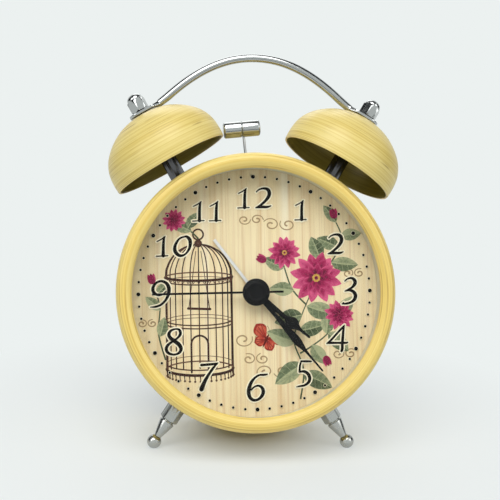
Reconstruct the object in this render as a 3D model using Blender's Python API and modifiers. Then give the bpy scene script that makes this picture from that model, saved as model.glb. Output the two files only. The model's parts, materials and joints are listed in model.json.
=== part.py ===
"""Twin bell alarm clock, three inch class, leaning back on two ball feet and the rear edge of its case.

The clock is modelled upright in its own frame: X to the right, Y to the back, Z up, with the middle of
the dial on the line X = Z = 0 and the bezel's front at Y = 0. The last step leans that frame back until
both feet and the rear edge touch the ground, and puts the middle of the box's base at the origin.
"""

from math import asin, atan2, cos, hypot, pi, radians, sin, sqrt

import bmesh
import bpy
from mathutils import Matrix

# Clearances, in metres as every length here
GAP = 0.0003
CUT_PAST = 0.001
WELD = 0.000001
AXIS_WELD = 0.00001

# Case, bezel, lens and dial
CASE_RADIUS = 0.0416
CASE_WALL = 0.0006
CASE_FRONT_Y = 0.0062
CASE_EDGE_RADIUS = 0.0012
CASE_HEM = 0.0014
FRONT_BEAD_DEPTH = 0.0020
REAR_BEAD_DEPTH = 0.0044
BEZEL_OVERHANG = 0.0012
BEZEL_FACE = 0.0036
BEZEL_DEPTH = 0.0095
BEZEL_LIP = 0.0027
LENS_THICKNESS = 0.0012
BEZEL_CROWN = 0.0035
BEZEL_PROFILE_SHARES = (
    (0.0, 0.42), (0.06, 0.28), (0.18, 0.13), (0.34, 0.03), (0.5, 0.0),
    (0.66, 0.05), (0.8, 0.18), (0.91, 0.40), (0.98, 0.68), (1.0, 1.0),
)
REFLECTOR_DEPTH = 0.0041
REFLECTOR_FRONT_INSET = 0.0037
REFLECTOR_BACK_INSET = 0.0045
DIAL_THICKNESS = 0.0005
COVER_THICKNESS = 0.0016
COVER_RECESS = 0.0009

# Bells, posts, acorn nuts and handle
BELL_MOUTH_X = 0.0262
BELL_ABOVE_CASE = 0.00619333
BELL_TILT = radians(30.2)
BELL_PLANE_Y = 0.0150
BELL_RADIUS = 0.0190
BELL_HEIGHT = 0.0180
BELL_WALL = 0.0008
POST_ACROSS = 0.0043
STUD_RADIUS = 0.0014
ACORN_ACROSS = 0.0053
ACORN_HEX_HEIGHT = 0.0031
ACORN_HEIGHT = 0.0057
ACORN_DOME_SHARE = 0.94
BELL_SCREW_RADIUS = 0.0011
BELL_SCREW_DEPTH = 0.0035
SCREW_HEAD_RADIUS = 0.0026
SCREW_HEAD_HEIGHT = 0.0013
BELL_PROFILE_SHARES = (
    (0.16, 0.998), (0.34, 0.965), (0.52, 0.895), (0.70, 0.775), (0.85, 0.625),
    (0.94, 0.475), (0.985, 0.33), (1.0, 0.17), (0.995, 0.0),
)
HANDLE_ROD = 0.0026
HANDLE_ARCH_RADIUS = 0.0310
HANDLE_ARCH_ANGLE = radians(42.0)
HANDLE_ABOVE_MOUTH = 0.0348
HANDLE_PLATE_WIDTH = 0.0064
HANDLE_PLATE_THICKNESS = 0.0010
HANDLE_PLATE_OUTER = 0.0042
HANDLE_PLATE_CORNER = 0.0024
HANDLE_ARCH_STEPS = 7

# Feet
LEG_ANGLE = radians(33.2)
LEG_PLANE_Y = 0.0175
LEG_BALL_BELOW_CASE = 0.01395
LEG_BALL_RADIUS = 0.0022
LEG_COLLAR_ACROSS = 0.0051
LEG_COLLAR_LENGTH = 0.0061
LEG_NECK_RADIUS = 0.0011
LEG_CONE_SHARE = 0.96
LEG_SHOULDER = 0.0006
BALL_STEPS = 6
LEG_THREAD_RADIUS = 0.0015
LEG_NUT_ACROSS = 0.0055
LEG_NUT_HEIGHT = 0.0022
FOOT_FLAT_DEPTH = 0.00028

# Hands, on four pipes inside one another
SECOND_ARBOR_RADIUS = 0.0006
PIPE_WALL = 0.0005
HUB_CAP_RADIUS = 0.00405
HAND_THICKNESS = 0.0003
HAND_SPACING = 0.0008
ALARM_HAND_ANGLE = radians(321.3)
HOUR_HAND_ANGLE = radians(129.2)
MINUTE_HAND_ANGLE = radians(139.1)
SECOND_HAND_ANGLE = radians(269.5)
ALARM_HAND_LENGTH = 0.0207
HOUR_HAND_LENGTH = 0.0216
MINUTE_HAND_LENGTH = 0.0312
SECOND_HAND_LENGTH = 0.0322
SECOND_HAND_TAIL = 0.0081
ALARM_HAND_WIDTH = 0.0009
SECOND_HAND_WIDTH = 0.0006
HOUR_HAND_SHARES = (
    (0.26, 0.152), (0.21, 0.42), (0.18, 0.56), (0.34, 0.60), (0.50, 0.645),
    (0.56, 0.69), (0.48, 0.735), (0.28, 0.78), (0.15, 0.83), (0.0, 1.0),
)
MINUTE_HAND_SHARES = (
    (0.24, 0.09), (0.20, 0.30), (0.36, 0.52), (0.42, 0.60), (0.36, 0.66),
    (0.14, 0.75), (0.07, 0.90), (0.0, 1.0),
)
HUB_CAP_HEIGHT = 0.0006
HUB_STEP_SHARE = 0.62
HUB_STEP_HEIGHT = 0.0002
HUB_CHAMFER = 0.0003

# Movement
MOVEMENT_HALF_WIDTH = 0.0220
MOVEMENT_TOP_Z = 0.0128
MOVEMENT_BOTTOM_Z = -0.0280
MOVEMENT_WALL = 0.0011
MOVEMENT_CORNER = 0.0030
MOVEMENT_DEPTH = 0.0164
WHEEL_THICKNESS = 0.0008
PINION_THICKNESS = 0.0011
LEVEL_STEP = 0.0017
FIRST_LEVEL = 0.0009
ARBOR_RADIUS = 0.0005
MIDDLE_PLATE_THICKNESS = 0.0004
MIDDLE_PLATE_LEVEL_SHARE = 4.5
SECOND_WHEEL_LEVEL_SHARE = 5.2
STEP_WHEEL_LEVEL_SHARE = 6.2
MOTION_DISTANCE = 0.0080
MOTION_DIRECTION = radians(180.0)
TIME_ARBOR_DIRECTION = radians(160.0)
THIRD_DISTANCE = 0.0120
THIRD_DIRECTION = radians(-60.0)
STEP_DISTANCE = 0.0096
STEP_DIRECTION = radians(-150.0)
ROTOR_DISTANCE = 0.0084
ROTOR_DIRECTION = radians(-100.0)
ALARM_DISTANCE = 0.0128
ALARM_DIRECTION = radians(0.0)
KNOB_ARBOR_RADIUS = 0.0008
CANNON_TEETH = 8
MOTION_TEETH = 24
MOTION_PINION_TEETH = 6
HOUR_TEETH = 24
TIME_PINION_TEETH = 8
SECOND_PINION_TEETH = 6
THIRD_TEETH = 45
THIRD_PINION_TEETH = 6
CENTRE_TEETH = 48
SECOND_TEETH = 36
STEP_PINION_TEETH = 6
STEP_TEETH = 30
ROTOR_PINION_TEETH = 6
ALARM_TEETH = 20
ALARM_PINION_TEETH = 20
MOST_PINION_TEETH = 10
TOOTH_ADDENDUM_SHARE = 0.7
TOOTH_DEDENDUM_SHARE = 1.0
TOOTH_FOOT_SHARE = 0.22
TOOTH_TOP_SHARE = 0.07
MAGNET_RADIUS = 0.0024
MAGNET_LENGTH = 0.0014
STATOR_THICKNESS = 0.0015
STATOR_WIDTH = 0.0180
STATOR_HEIGHT = 0.0150
STATOR_LIMB = 0.0022
STATOR_OFFSET_X = 0.0030
STATOR_OFFSET_Z = -0.0040
CORE_RADIUS = 0.0006
COIL_RADIUS = 0.0017
COIL_LENGTH = 0.0110
BOARD_WIDTH = 0.0150
BOARD_HEIGHT = 0.0110
BOARD_THICKNESS = 0.0010

# Alarm hammer and its motor
HAMMER_HEAD_X = -0.00375
HAMMER_HEAD_ABOVE_MOUTH = 0.01212
HAMMER_TILT = radians(6.5)
HAMMER_HEAD_LENGTH = 0.0112
HAMMER_HEAD_RADIUS = 0.0022
HAMMER_HEAD_CHAMFER = 0.0005
HAMMER_GROOVE = 0.0003
HAMMER_WIRE = 0.0008
HAMMER_PIN_RADIUS = 0.0010
HAMMER_ARM_THICKNESS = 0.0010
HAMMER_HUB_WALL = 0.0008
HAMMER_EYE_WALL = 0.0011
CRANK_ABOVE_PIVOT = 0.0072
CRANK_THROW = 0.0012
CRANK_PIN_RADIUS = 0.0006
CRANK_TEETH = 24
MOTOR_PINION_TEETH = 8
MOTOR_DISTANCE = 0.0056
MOTOR_RADIUS = 0.0050
MOTOR_LENGTH = 0.0140
FRAME_HALF_WIDTH = 0.0135
FRAME_THICKNESS = 0.0012
FRAME_BELOW_PIVOT = 0.0038
FRAME_ABOVE_MOTOR = 0.0040
FRAME_CORNER = 0.0030
CRANK_GEAR_THICKNESS = 0.0010
CRANK_STUD_RADIUS = 0.0008
CRANK_BORE_DEPTH = 0.0006
MOTOR_SHAFT_RADIUS = 0.0005
MOTOR_SHAFT_DEPTH = 0.0030
BOSS_BELOW_MOUTH = 0.01005
BOSS_RADIUS = 0.0022
BOSS_X = 0.0105

# Rear cover, battery, knobs and switch
BATTERY_RADIUS = 0.00715
BATTERY_LENGTH = 0.0505
BATTERY_NUB_RADIUS = 0.00275
BATTERY_NUB_HEIGHT = 0.0010
CONTACT_SHARE = 0.7
BATTERY_Z = -0.0184
BAY_END_SPACE = 0.00205
BAY_SIDE_SPACE = 0.00165
BAY_WALL = 0.0009
CONTACT_THICKNESS = 0.0004
DOOR_THICKNESS = 0.0009
DOOR_GRIP_LENGTH = 0.0100
DOOR_GRIP_WIDTH = 0.0012
DOOR_GRIP_HEIGHT = 0.0006
KNOB_RADIUS = 0.0050
KNOB_HEIGHT = 0.0060
KNOB_RIBS = 16
KNOB_RIB_DEPTH = 0.0004
KNOB_BORE_SHARE = 0.5
SWITCH_Z = 0.0130
SWITCH_TRAVEL = 0.0040
SWITCH_LENGTH = 0.0050
SWITCH_WIDTH = 0.0040
SWITCH_HEIGHT = 0.0018
SWITCH_STEM = 0.0024
SWITCH_FLANGE = 0.0009
COVER_SCREW_HEAD = 0.0015
COVER_SCREW_SHANK = 0.0006
COVER_SCREW_LENGTH = 0.0034
COVER_SCREW_INSET = 0.0035
COVER_SCREW_ANGLES = tuple(radians(a) for a in (90.0, 205.0, 335.0))

# Numbers of facets round a turned or drilled shape
LARGE_FACETS = 48
BELL_FACETS = 36
SMALL_FACETS = 12
HOLE_FACETS = 16

# What follows from the sizes above
CASE_INSIDE_RADIUS = CASE_RADIUS - CASE_WALL
DISC_RADIUS = CASE_INSIDE_RADIUS - GAP
BEZEL_RADIUS = CASE_RADIUS + BEZEL_OVERHANG
BEZEL_OPENING_RADIUS = CASE_RADIUS - BEZEL_FACE
REFLECTOR_FRONT_RADIUS = CASE_RADIUS - REFLECTOR_FRONT_INSET
REFLECTOR_BACK_RADIUS = CASE_RADIUS - REFLECTOR_BACK_INSET
LEG_BALL_DISTANCE = CASE_RADIUS + LEG_BALL_BELOW_CASE
COVER_SCREW_CIRCLE = CASE_RADIUS - COVER_SCREW_INSET
LENS_Y = BEZEL_LIP + GAP
REFLECTOR_Y = LENS_Y + LENS_THICKNESS + GAP
DIAL_Y = REFLECTOR_Y + REFLECTOR_DEPTH + GAP
DIAL_BACK_Y = DIAL_Y + DIAL_THICKNESS
MOVEMENT_Y = DIAL_BACK_Y + GAP
MOVEMENT_BACK_Y = MOVEMENT_Y + MOVEMENT_DEPTH
BAY_Y = MOVEMENT_BACK_Y + GAP
BAY_HALF_WIDTH = BATTERY_LENGTH / 2 + BAY_END_SPACE
BAY_HALF_HEIGHT = BATTERY_RADIUS + BAY_SIDE_SPACE
BATTERY_Y = BAY_Y + BAY_WALL + GAP + BATTERY_RADIUS
COVER_BACK_Y = BATTERY_Y + BATTERY_RADIUS + GAP + DOOR_THICKNESS
COVER_Y = COVER_BACK_Y - COVER_THICKNESS
CASE_BACK_Y = COVER_BACK_Y + COVER_RECESS
COVER_RADIUS = CASE_RADIUS - CASE_HEM - GAP
MINUTE_BORE = SECOND_ARBOR_RADIUS + GAP
MINUTE_PIPE = MINUTE_BORE + PIPE_WALL
HOUR_BORE = MINUTE_PIPE + GAP
HOUR_PIPE = HOUR_BORE + PIPE_WALL
ALARM_BORE = HOUR_PIPE + GAP
ALARM_PIPE = ALARM_BORE + PIPE_WALL
CENTRE_HOLE = ALARM_PIPE + GAP
ALARM_HAND_Y = DIAL_Y - HAND_SPACING
HOUR_HAND_Y = ALARM_HAND_Y - HAND_SPACING
MINUTE_HAND_Y = HOUR_HAND_Y - HAND_SPACING
SECOND_HAND_Y = MINUTE_HAND_Y - HAND_SPACING
BELL_ALONG = CASE_RADIUS + BELL_ABOVE_CASE
BELL_MOUTH_Z = (BELL_ALONG - BELL_MOUTH_X * sin(BELL_TILT)) / cos(BELL_TILT)
HANDLE_APEX_Z = BELL_MOUTH_Z + HANDLE_ABOVE_MOUTH
HAMMER_HEAD_Z = BELL_MOUTH_Z + HAMMER_HEAD_ABOVE_MOUTH
BOSS_Z = BELL_MOUTH_Z - BOSS_BELOW_MOUTH
HAMMER_ARM_LENGTH = -HAMMER_HEAD_X / sin(HAMMER_TILT)
HAMMER_PIVOT_Z = HAMMER_HEAD_Z - HAMMER_ARM_LENGTH * cos(HAMMER_TILT)
CRANK_Z = HAMMER_PIVOT_Z + CRANK_ABOVE_PIVOT
MOTOR_Z = CRANK_Z + MOTOR_DISTANCE
CRANK_GEAR_Y = BELL_PLANE_Y + HAMMER_ARM_THICKNESS / 2 + 3 * GAP
FRAME_Y = CRANK_GEAR_Y + CRANK_GEAR_THICKNESS + 2 * GAP

MIDDLE_PLATE_Y = MOVEMENT_Y + MOVEMENT_WALL + FIRST_LEVEL + MIDDLE_PLATE_LEVEL_SHARE * LEVEL_STEP
MOTION_PLACE = (MOTION_DISTANCE * cos(MOTION_DIRECTION), MOTION_DISTANCE * sin(MOTION_DIRECTION))
TIME_DISTANCE = MOTION_DISTANCE * (MOTION_TEETH + TIME_PINION_TEETH) / (MOTION_TEETH + CANNON_TEETH)
TIME_PLACE = (
    MOTION_PLACE[0] + TIME_DISTANCE * cos(TIME_ARBOR_DIRECTION),
    MOTION_PLACE[1] + TIME_DISTANCE * sin(TIME_ARBOR_DIRECTION),
)
THIRD_PLACE = (THIRD_DISTANCE * cos(THIRD_DIRECTION), THIRD_DISTANCE * sin(THIRD_DIRECTION))
STEP_PLACE = (STEP_DISTANCE * cos(STEP_DIRECTION), STEP_DISTANCE * sin(STEP_DIRECTION))
ROTOR_PLACE = (
    STEP_PLACE[0] + ROTOR_DISTANCE * cos(ROTOR_DIRECTION),
    STEP_PLACE[1] + ROTOR_DISTANCE * sin(ROTOR_DIRECTION),
)
ALARM_PLACE = (ALARM_DISTANCE * cos(ALARM_DIRECTION), ALARM_DISTANCE * sin(ALARM_DIRECTION))

# The lean: the ball foot and the rear edge of the case touch one plane
FOOT_BELOW = LEG_BALL_DISTANCE * cos(LEG_ANGLE)
LEAN_RISE = FOOT_BELOW - (CASE_RADIUS - CASE_EDGE_RADIUS)
LEAN_RUN = CASE_BACK_Y - CASE_EDGE_RADIUS - LEG_PLANE_Y
LEAN = atan2(LEAN_RISE, LEAN_RUN) + asin(
    (LEG_BALL_RADIUS - CASE_EDGE_RADIUS) / hypot(LEAN_RISE, LEAN_RUN)
)
GROUND_DEPTH = CASE_EDGE_RADIUS - FOOT_FLAT_DEPTH
GROUND_PLACE = (
    Matrix.Translation((0, CASE_BACK_Y - CASE_EDGE_RADIUS, CASE_EDGE_RADIUS - CASE_RADIUS))
    @ Matrix.Rotation(LEAN, 4, "X")
    @ Matrix.Translation((0, 0, -GROUND_DEPTH))
)


# Scene, materials and placing


def clear_scene():
    for obj in list(bpy.data.objects):
        bpy.data.objects.remove(obj, do_unlink=True)


def make_collection(name, hidden):
    collection = bpy.data.collections.new(name)
    bpy.context.scene.collection.children.link(collection)
    collection.hide_render = hidden
    return collection


def linear(channel):
    return channel / 12.92 if channel <= 0.04045 else ((channel + 0.055) / 1.055) ** 2.4


def material(name, colour, roughness, metallic=0.0, transmission=0.0):
    made = bpy.data.materials.new(name)
    made.use_nodes = True
    shader = made.node_tree.nodes["Principled BSDF"]
    channels = [int(colour[i : i + 2], 16) / 255 for i in (0, 2, 4)]
    shader.inputs["Base Color"].default_value = [linear(c) for c in channels] + [1]
    shader.inputs["Roughness"].default_value = roughness
    shader.inputs["Metallic"].default_value = metallic
    shader.inputs["Transmission Weight"].default_value = transmission
    made.diffuse_color = shader.inputs["Base Color"].default_value
    return made


def new_object(name, mesh, finish):
    obj = bpy.data.objects.new(name, mesh)
    parts.objects.link(obj)
    obj.parent = root
    if finish:
        mesh.materials.clear()
        mesh.materials.append(finish)
    return obj


def facing_back(x, y, z, turn=0.0):
    """A place whose local Z points to the back; a positive turn is clockwise seen from the front."""
    place = Matrix.Translation((x, y, z)) @ Matrix.Rotation(-pi / 2, 4, "X")
    return place @ Matrix.Rotation(turn, 4, "Z")


def facing_out(side, plane_y, tilt, x=0.0, z=0.0):
    """A place whose local Z points up and outward by tilt, to the right where side is 1."""
    return Matrix.Translation((x, plane_y, z)) @ Matrix.Rotation(side * tilt, 4, "Y")


def placed(obj, place):
    obj.matrix_local = place
    return obj


def hide_as_tool(obj):
    for collection in list(obj.users_collection):
        collection.objects.unlink(obj)
    tools.objects.link(obj)
    obj.hide_render = True
    obj.display_type = "WIRE"
    return obj


def combine(obj, other, operation):
    hide_as_tool(other)
    change = obj.modifiers.new(operation.lower(), "BOOLEAN")
    change.operation = operation
    change.object = other
    return obj


def cut(obj, *cutters):
    for cutter in cutters:
        combine(obj, cutter, "DIFFERENCE")
    return obj


def join(obj, *others):
    for other in others:
        combine(obj, other, "UNION")
    return obj


# Shapes


def signed_area(points):
    pairs = zip(points, points[1:] + points[:1])
    return sum(a[0] * b[1] - b[0] * a[1] for a, b in pairs) / 2


def turned(name, profile, facets, finish=None, ring=False):
    """Points of radius and height swept round local Z; a ring's profile is a closed loop off the axis."""
    if signed_area(profile) > 0:
        profile = profile[::-1]
    mesh = bpy.data.meshes.new(name)
    edges = [(i, i + 1) for i in range(len(profile) - 1)]
    if ring:
        edges.append((len(profile) - 1, 0))
    mesh.from_pydata([(r, 0, h) for r, h in profile], edges, [])
    obj = new_object(name, mesh, finish)
    sweep = obj.modifiers.new("sweep", "SCREW")
    sweep.steps = sweep.render_steps = facets
    sweep.use_merge_vertices = True
    sweep.merge_threshold = AXIS_WELD
    sweep.use_smooth_shade = True
    return obj


def cylinder(name, radius, low, high, facets=SMALL_FACETS, finish=None, chamfer=0.0):
    profile = [(0, high), (radius - chamfer, high), (radius, high - chamfer)]
    profile += [(radius, low + chamfer), (radius - chamfer, low), (0, low)]
    if not chamfer:
        profile = [(0, high), (radius, high), (radius, low), (0, low)]
    return turned(name, profile, facets, finish)


def tube(name, outer, inner, low, high, facets=SMALL_FACETS, finish=None):
    profile = [(outer, high), (outer, low), (inner, low), (inner, high)]
    return turned(name, profile, facets, finish, ring=True)


def arc(centre, radius, start, end, count):
    """Points of an arc, angles in radians from the first axis."""
    steps = [start + (end - start) * i / count for i in range(count + 1)]
    return [(centre[0] + radius * cos(a), centre[1] + radius * sin(a)) for a in steps]


def circle(radius, count, x=0.0, y=0.0):
    return arc((x, y), radius, 0, 2 * pi, count)[:-1]


def polygon(across_flats, sides=6):
    return circle(across_flats / 2 / cos(pi / sides), sides)


def rounded_box(half_x, half_y, corner, x=0.0, y=0.0, count=4):
    points = []
    for quarter, (sx, sy) in enumerate(((1, 1), (-1, 1), (-1, -1), (1, -1))):
        centre = (x + sx * (half_x - corner), y + sy * (half_y - corner))
        start = quarter * pi / 2
        points += arc(centre, corner, start, start + pi / 2, count)
    return points


def slot_outline(half_length, half_width, x=0.0, y=0.0):
    return rounded_box(half_length, half_width, half_width, x, y)


def mesh_from_curve(name, curve, finish):
    """A curve's own mesh with its caps welded, so that it can be cut and joined."""
    source = bpy.data.objects.new(name + "_curve", curve)
    bpy.context.scene.collection.objects.link(source)
    found = bpy.context.evaluated_depsgraph_get()
    mesh = bpy.data.meshes.new_from_object(source.evaluated_get(found))
    mesh.name = name
    bpy.data.objects.remove(source, do_unlink=True)
    work = bmesh.new()
    work.from_mesh(mesh)
    bmesh.ops.remove_doubles(work, verts=work.verts, dist=WELD)
    bmesh.ops.recalc_face_normals(work, faces=work.faces)
    work.to_mesh(mesh)
    work.free()
    return new_object(name, mesh, finish)


def flat(name, outlines, low, high, finish=None):
    """Flat outlines, the first the outer one and the rest holes, from height low to high."""
    curve = bpy.data.curves.new(name, "CURVE")
    curve.dimensions = "2D"
    curve.fill_mode = "BOTH"
    curve.extrude = (high - low) / 2
    for outline in outlines:
        spline = curve.splines.new("POLY")
        spline.points.add(len(outline) - 1)
        for point, (x, y) in zip(spline.points, outline):
            point.co = (x, y, 0, 1)
        spline.use_cyclic_u = True
    obj = mesh_from_curve(name, curve, finish)
    obj.data.transform(Matrix.Translation((0, 0, (low + high) / 2)))
    return obj


def box(name, low, high, finish=None):
    """A box between two corners."""
    mesh = bpy.data.meshes.new(name)
    work = bmesh.new()
    bmesh.ops.create_cube(work, size=1)
    size = [b - a for a, b in zip(low, high)]
    middle = [(a + b) / 2 for a, b in zip(low, high)]
    place = Matrix.Translation(middle) @ Matrix.Diagonal((*size, 1))
    bmesh.ops.transform(work, matrix=place, verts=work.verts)
    work.to_mesh(mesh)
    work.free()
    return new_object(name, mesh, finish)


def gear_outline(teeth, pitch_radius, phase=0.0):
    """Low straight-sided teeth with a wide gap, pointed on a wheel and flat-topped on a pinion."""
    pitch = 2 * pi / teeth
    module = 2 * pitch_radius / teeth
    tip = pitch_radius + TOOTH_ADDENDUM_SHARE * module
    foot = pitch_radius - TOOTH_DEDENDUM_SHARE * module
    tooth = [(foot, -TOOTH_FOOT_SHARE), (tip, 0.0), (foot, TOOTH_FOOT_SHARE)]
    if teeth <= MOST_PINION_TEETH:
        tooth[1:2] = [(tip, -TOOTH_TOP_SHARE), (tip, TOOTH_TOP_SHARE)]
    points = []
    for number in range(teeth):
        for radius, share in tooth:
            angle = phase + (number + share) * pitch
            points.append((radius * cos(angle), radius * sin(angle)))
    return points


def pitch_radii(distance, teeth, other_teeth):
    """The two pitch radii of a pair of gears at this distance."""
    first = distance * teeth / (teeth + other_teeth)
    return first, distance - first


def meshed_phase(direction, teeth, phase, other_teeth):
    """The phase at which another gear, seen in this direction, has a gap where the first has a tooth."""
    share = (direction - phase) * teeth / (2 * pi)
    return direction + pi - (0.5 - share) * 2 * pi / other_teeth


def beside(place, distance, direction):
    return place[0] + distance * cos(direction), place[1] + distance * sin(direction)


# Case and front


def make_case():
    bend = (CASE_RADIUS - CASE_EDGE_RADIUS, CASE_BACK_Y - CASE_EDGE_RADIUS)
    hem_inside = CASE_RADIUS - CASE_HEM
    front_bead = (DIAL_BACK_Y + GAP, DIAL_BACK_Y + GAP + CASE_WALL)
    rear_bead = (COVER_Y - GAP - CASE_WALL, COVER_Y - GAP)
    profile = [(CASE_RADIUS, CASE_FRONT_Y)]
    profile += arc(bend, CASE_EDGE_RADIUS, 0, pi / 2, 3)
    profile += [(hem_inside, CASE_BACK_Y), (hem_inside, CASE_BACK_Y - CASE_WALL)]
    profile += arc(bend, CASE_EDGE_RADIUS - CASE_WALL, pi / 2, 0, 2)
    for (low, high), depth in ((rear_bead, REAR_BEAD_DEPTH), (front_bead, FRONT_BEAD_DEPTH)):
        profile += [(CASE_INSIDE_RADIUS, high), (CASE_INSIDE_RADIUS - depth, high)]
        profile += [(CASE_INSIDE_RADIUS - depth, low), (CASE_INSIDE_RADIUS, low)]
    profile.append((CASE_INSIDE_RADIUS, CASE_FRONT_Y))
    case = turned("case_drum", profile, LARGE_FACETS, enamel, ring=True)
    placed(case, facing_back(0, 0, 0, pi / LARGE_FACETS))

    swing = HAMMER_WIRE / 2 + GAP + (CASE_RADIUS - HAMMER_PIVOT_Z) * sin(HAMMER_TILT)
    slot_half_width = HAMMER_WIRE / 2 + 2 * GAP
    cut(case, box(
        "hammer_slot",
        (-swing, BELL_PLANE_Y - slot_half_width, CASE_RADIUS - 2 * CASE_WALL),
        (swing, BELL_PLANE_Y + slot_half_width, CASE_RADIUS + CUT_PAST),
    ))
    low = CASE_INSIDE_RADIUS - CUT_PAST
    high = CASE_RADIUS + CUT_PAST
    for side in (-1, 1):
        leg_hole = cylinder(f"leg_hole_{side}", LEG_THREAD_RADIUS + GAP, low, high)
        placed(leg_hole, facing_out(side, LEG_PLANE_Y, pi - LEG_ANGLE))
        bell_hole = cylinder(
            f"bell_hole_{side}", BELL_SCREW_RADIUS + GAP, low - BELL_ALONG, high - BELL_ALONG
        )
        cut(case, leg_hole, placed(bell_hole, bell_place(side)))
    for number, angle in enumerate(COVER_SCREW_ANGLES):
        hole = cylinder(
            f"bead_hole_{number}", COVER_SCREW_SHANK + GAP, COVER_Y - 2 * CUT_PAST, COVER_Y
        )
        x, z = beside((0, 0), COVER_SCREW_CIRCLE, angle)
        cut(case, placed(hole, facing_back(x, 0, z)))
    half_width = BAY_HALF_WIDTH + GAP
    cut(case, box(
        "bay_notch",
        (-half_width, COVER_Y - 2 * CUT_PAST, BATTERY_Z - BAY_HALF_HEIGHT - GAP),
        (half_width, COVER_Y, 0),
    ))
    return cut_to_ground(case)


def cut_to_ground(obj):
    """Takes off what lies below the ground, so that a foot or an edge rests on a small flat."""
    ground = box(
        obj.name + "_ground",
        (-2 * CASE_RADIUS, -2 * CASE_RADIUS, -CASE_RADIUS),
        (2 * CASE_RADIUS, 4 * CASE_RADIUS, 0),
    )
    return cut(obj, placed(ground, GROUND_PLACE))


def make_bezel():
    """A spun ring: a lip over the lens, a round crown and a skirt over the case."""
    width = BEZEL_RADIUS - BEZEL_OPENING_RADIUS
    skirt_inside = CASE_RADIUS + GAP
    profile = [
        (BEZEL_OPENING_RADIUS + width * across, BEZEL_CROWN * deep)
        for across, deep in BEZEL_PROFILE_SHARES
    ]
    profile += [(BEZEL_RADIUS, BEZEL_DEPTH), (skirt_inside, BEZEL_DEPTH)]
    profile += [(skirt_inside, BEZEL_LIP), (BEZEL_OPENING_RADIUS, BEZEL_LIP)]
    bezel = turned("front_bezel", profile, LARGE_FACETS, enamel, ring=True)
    return placed(bezel, facing_back(0, 0, 0))


def make_lens():
    lens = cylinder("lens", DISC_RADIUS, 0, LENS_THICKNESS, LARGE_FACETS, clear_plastic)
    return placed(lens, facing_back(0, LENS_Y, 0))


def make_reflector():
    profile = [(DISC_RADIUS, 0), (DISC_RADIUS, REFLECTOR_DEPTH)]
    profile += [(REFLECTOR_BACK_RADIUS, REFLECTOR_DEPTH), (REFLECTOR_FRONT_RADIUS, 0)]
    ring = turned("reflector_ring", profile, LARGE_FACETS, cream_plastic, ring=True)
    return placed(ring, facing_back(0, REFLECTOR_Y, 0))


def make_dial():
    outlines = [circle(DISC_RADIUS, LARGE_FACETS), circle(CENTRE_HOLE, HOLE_FACETS)]
    return placed(flat("dial", outlines, 0, DIAL_THICKNESS, printed_card), facing_back(0, DIAL_Y, 0))


# Bells and handle, each bell on a hex post with a stud through its crown


def bell_place(side):
    return facing_out(side, BELL_PLANE_Y, BELL_TILT, side * BELL_MOUTH_X, BELL_MOUTH_Z)


def make_bell(side, name):
    profile = [(BELL_RADIUS * out, BELL_HEIGHT * up) for out, up in BELL_PROFILE_SHARES]
    profile.insert(0, (STUD_RADIUS + GAP, BELL_HEIGHT))
    bell = placed(turned("bell_" + name, profile, BELL_FACETS, enamel), bell_place(side))
    wall = bell.modifiers.new("wall", "SOLIDIFY")
    wall.thickness = BELL_WALL
    wall.offset = -1
    return bell


def make_post(side, name):
    top = BELL_HEIGHT - BELL_WALL - GAP
    bottom = CASE_RADIUS + GAP - BELL_ALONG
    post = flat("bell_post_" + name, [polygon(POST_ACROSS)], bottom, top, chrome)
    stud_top = BELL_HEIGHT + HANDLE_PLATE_THICKNESS + 2 * GAP + ACORN_HEX_HEIGHT
    stud = cylinder("stud_" + name, STUD_RADIUS, top - CUT_PAST, stud_top)
    bore = cylinder(
        "post_bore_" + name, BELL_SCREW_RADIUS + GAP, bottom - CUT_PAST, bottom + BELL_SCREW_DEPTH + GAP
    )
    for piece in (post, stud, bore):
        placed(piece, bell_place(side))
    return cut(join(post, stud), bore)


def make_bell_screw(side, name):
    """The screw from inside the case that holds the post; its head clears the case's curve."""
    offset = BELL_MOUTH_X * cos(BELL_TILT) - BELL_MOUTH_Z * sin(BELL_TILT)
    seat = sqrt(CASE_INSIDE_RADIUS**2 - (abs(offset) + SCREW_HEAD_RADIUS) ** 2) - GAP - BELL_ALONG
    end = CASE_RADIUS + BELL_SCREW_DEPTH - BELL_ALONG
    profile = [(0, end), (BELL_SCREW_RADIUS, end), (BELL_SCREW_RADIUS, seat)]
    profile += [(SCREW_HEAD_RADIUS, seat), (SCREW_HEAD_RADIUS, seat - SCREW_HEAD_HEIGHT)]
    profile.append((0, seat - SCREW_HEAD_HEIGHT))
    return placed(turned("bell_screw_" + name, profile, SMALL_FACETS, steel), bell_place(side))


def make_acorn_nut(side, name):
    """A hex base under a dome, with a blind hole over the stud."""
    base = BELL_HEIGHT + HANDLE_PLATE_THICKNESS + 2 * GAP
    dome_radius = ACORN_ACROSS * ACORN_DOME_SHARE / 2
    dome_centre = base + ACORN_HEIGHT - dome_radius
    nut = flat("acorn_nut_" + name, [polygon(ACORN_ACROSS)], base, base + ACORN_HEX_HEIGHT, chrome)
    rounded = arc((0, dome_centre), dome_radius, pi / 2, 0, 5)
    dome = turned("dome_" + name, rounded + [(dome_radius, base + GAP), (0, base + GAP)], SMALL_FACETS)
    bore = cylinder(
        "acorn_bore_" + name, STUD_RADIUS + GAP, base - CUT_PAST, base + ACORN_HEX_HEIGHT + GAP
    )
    for piece in (nut, dome, bore):
        placed(piece, bell_place(side))
    return cut(join(nut, dome), bore)


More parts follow.
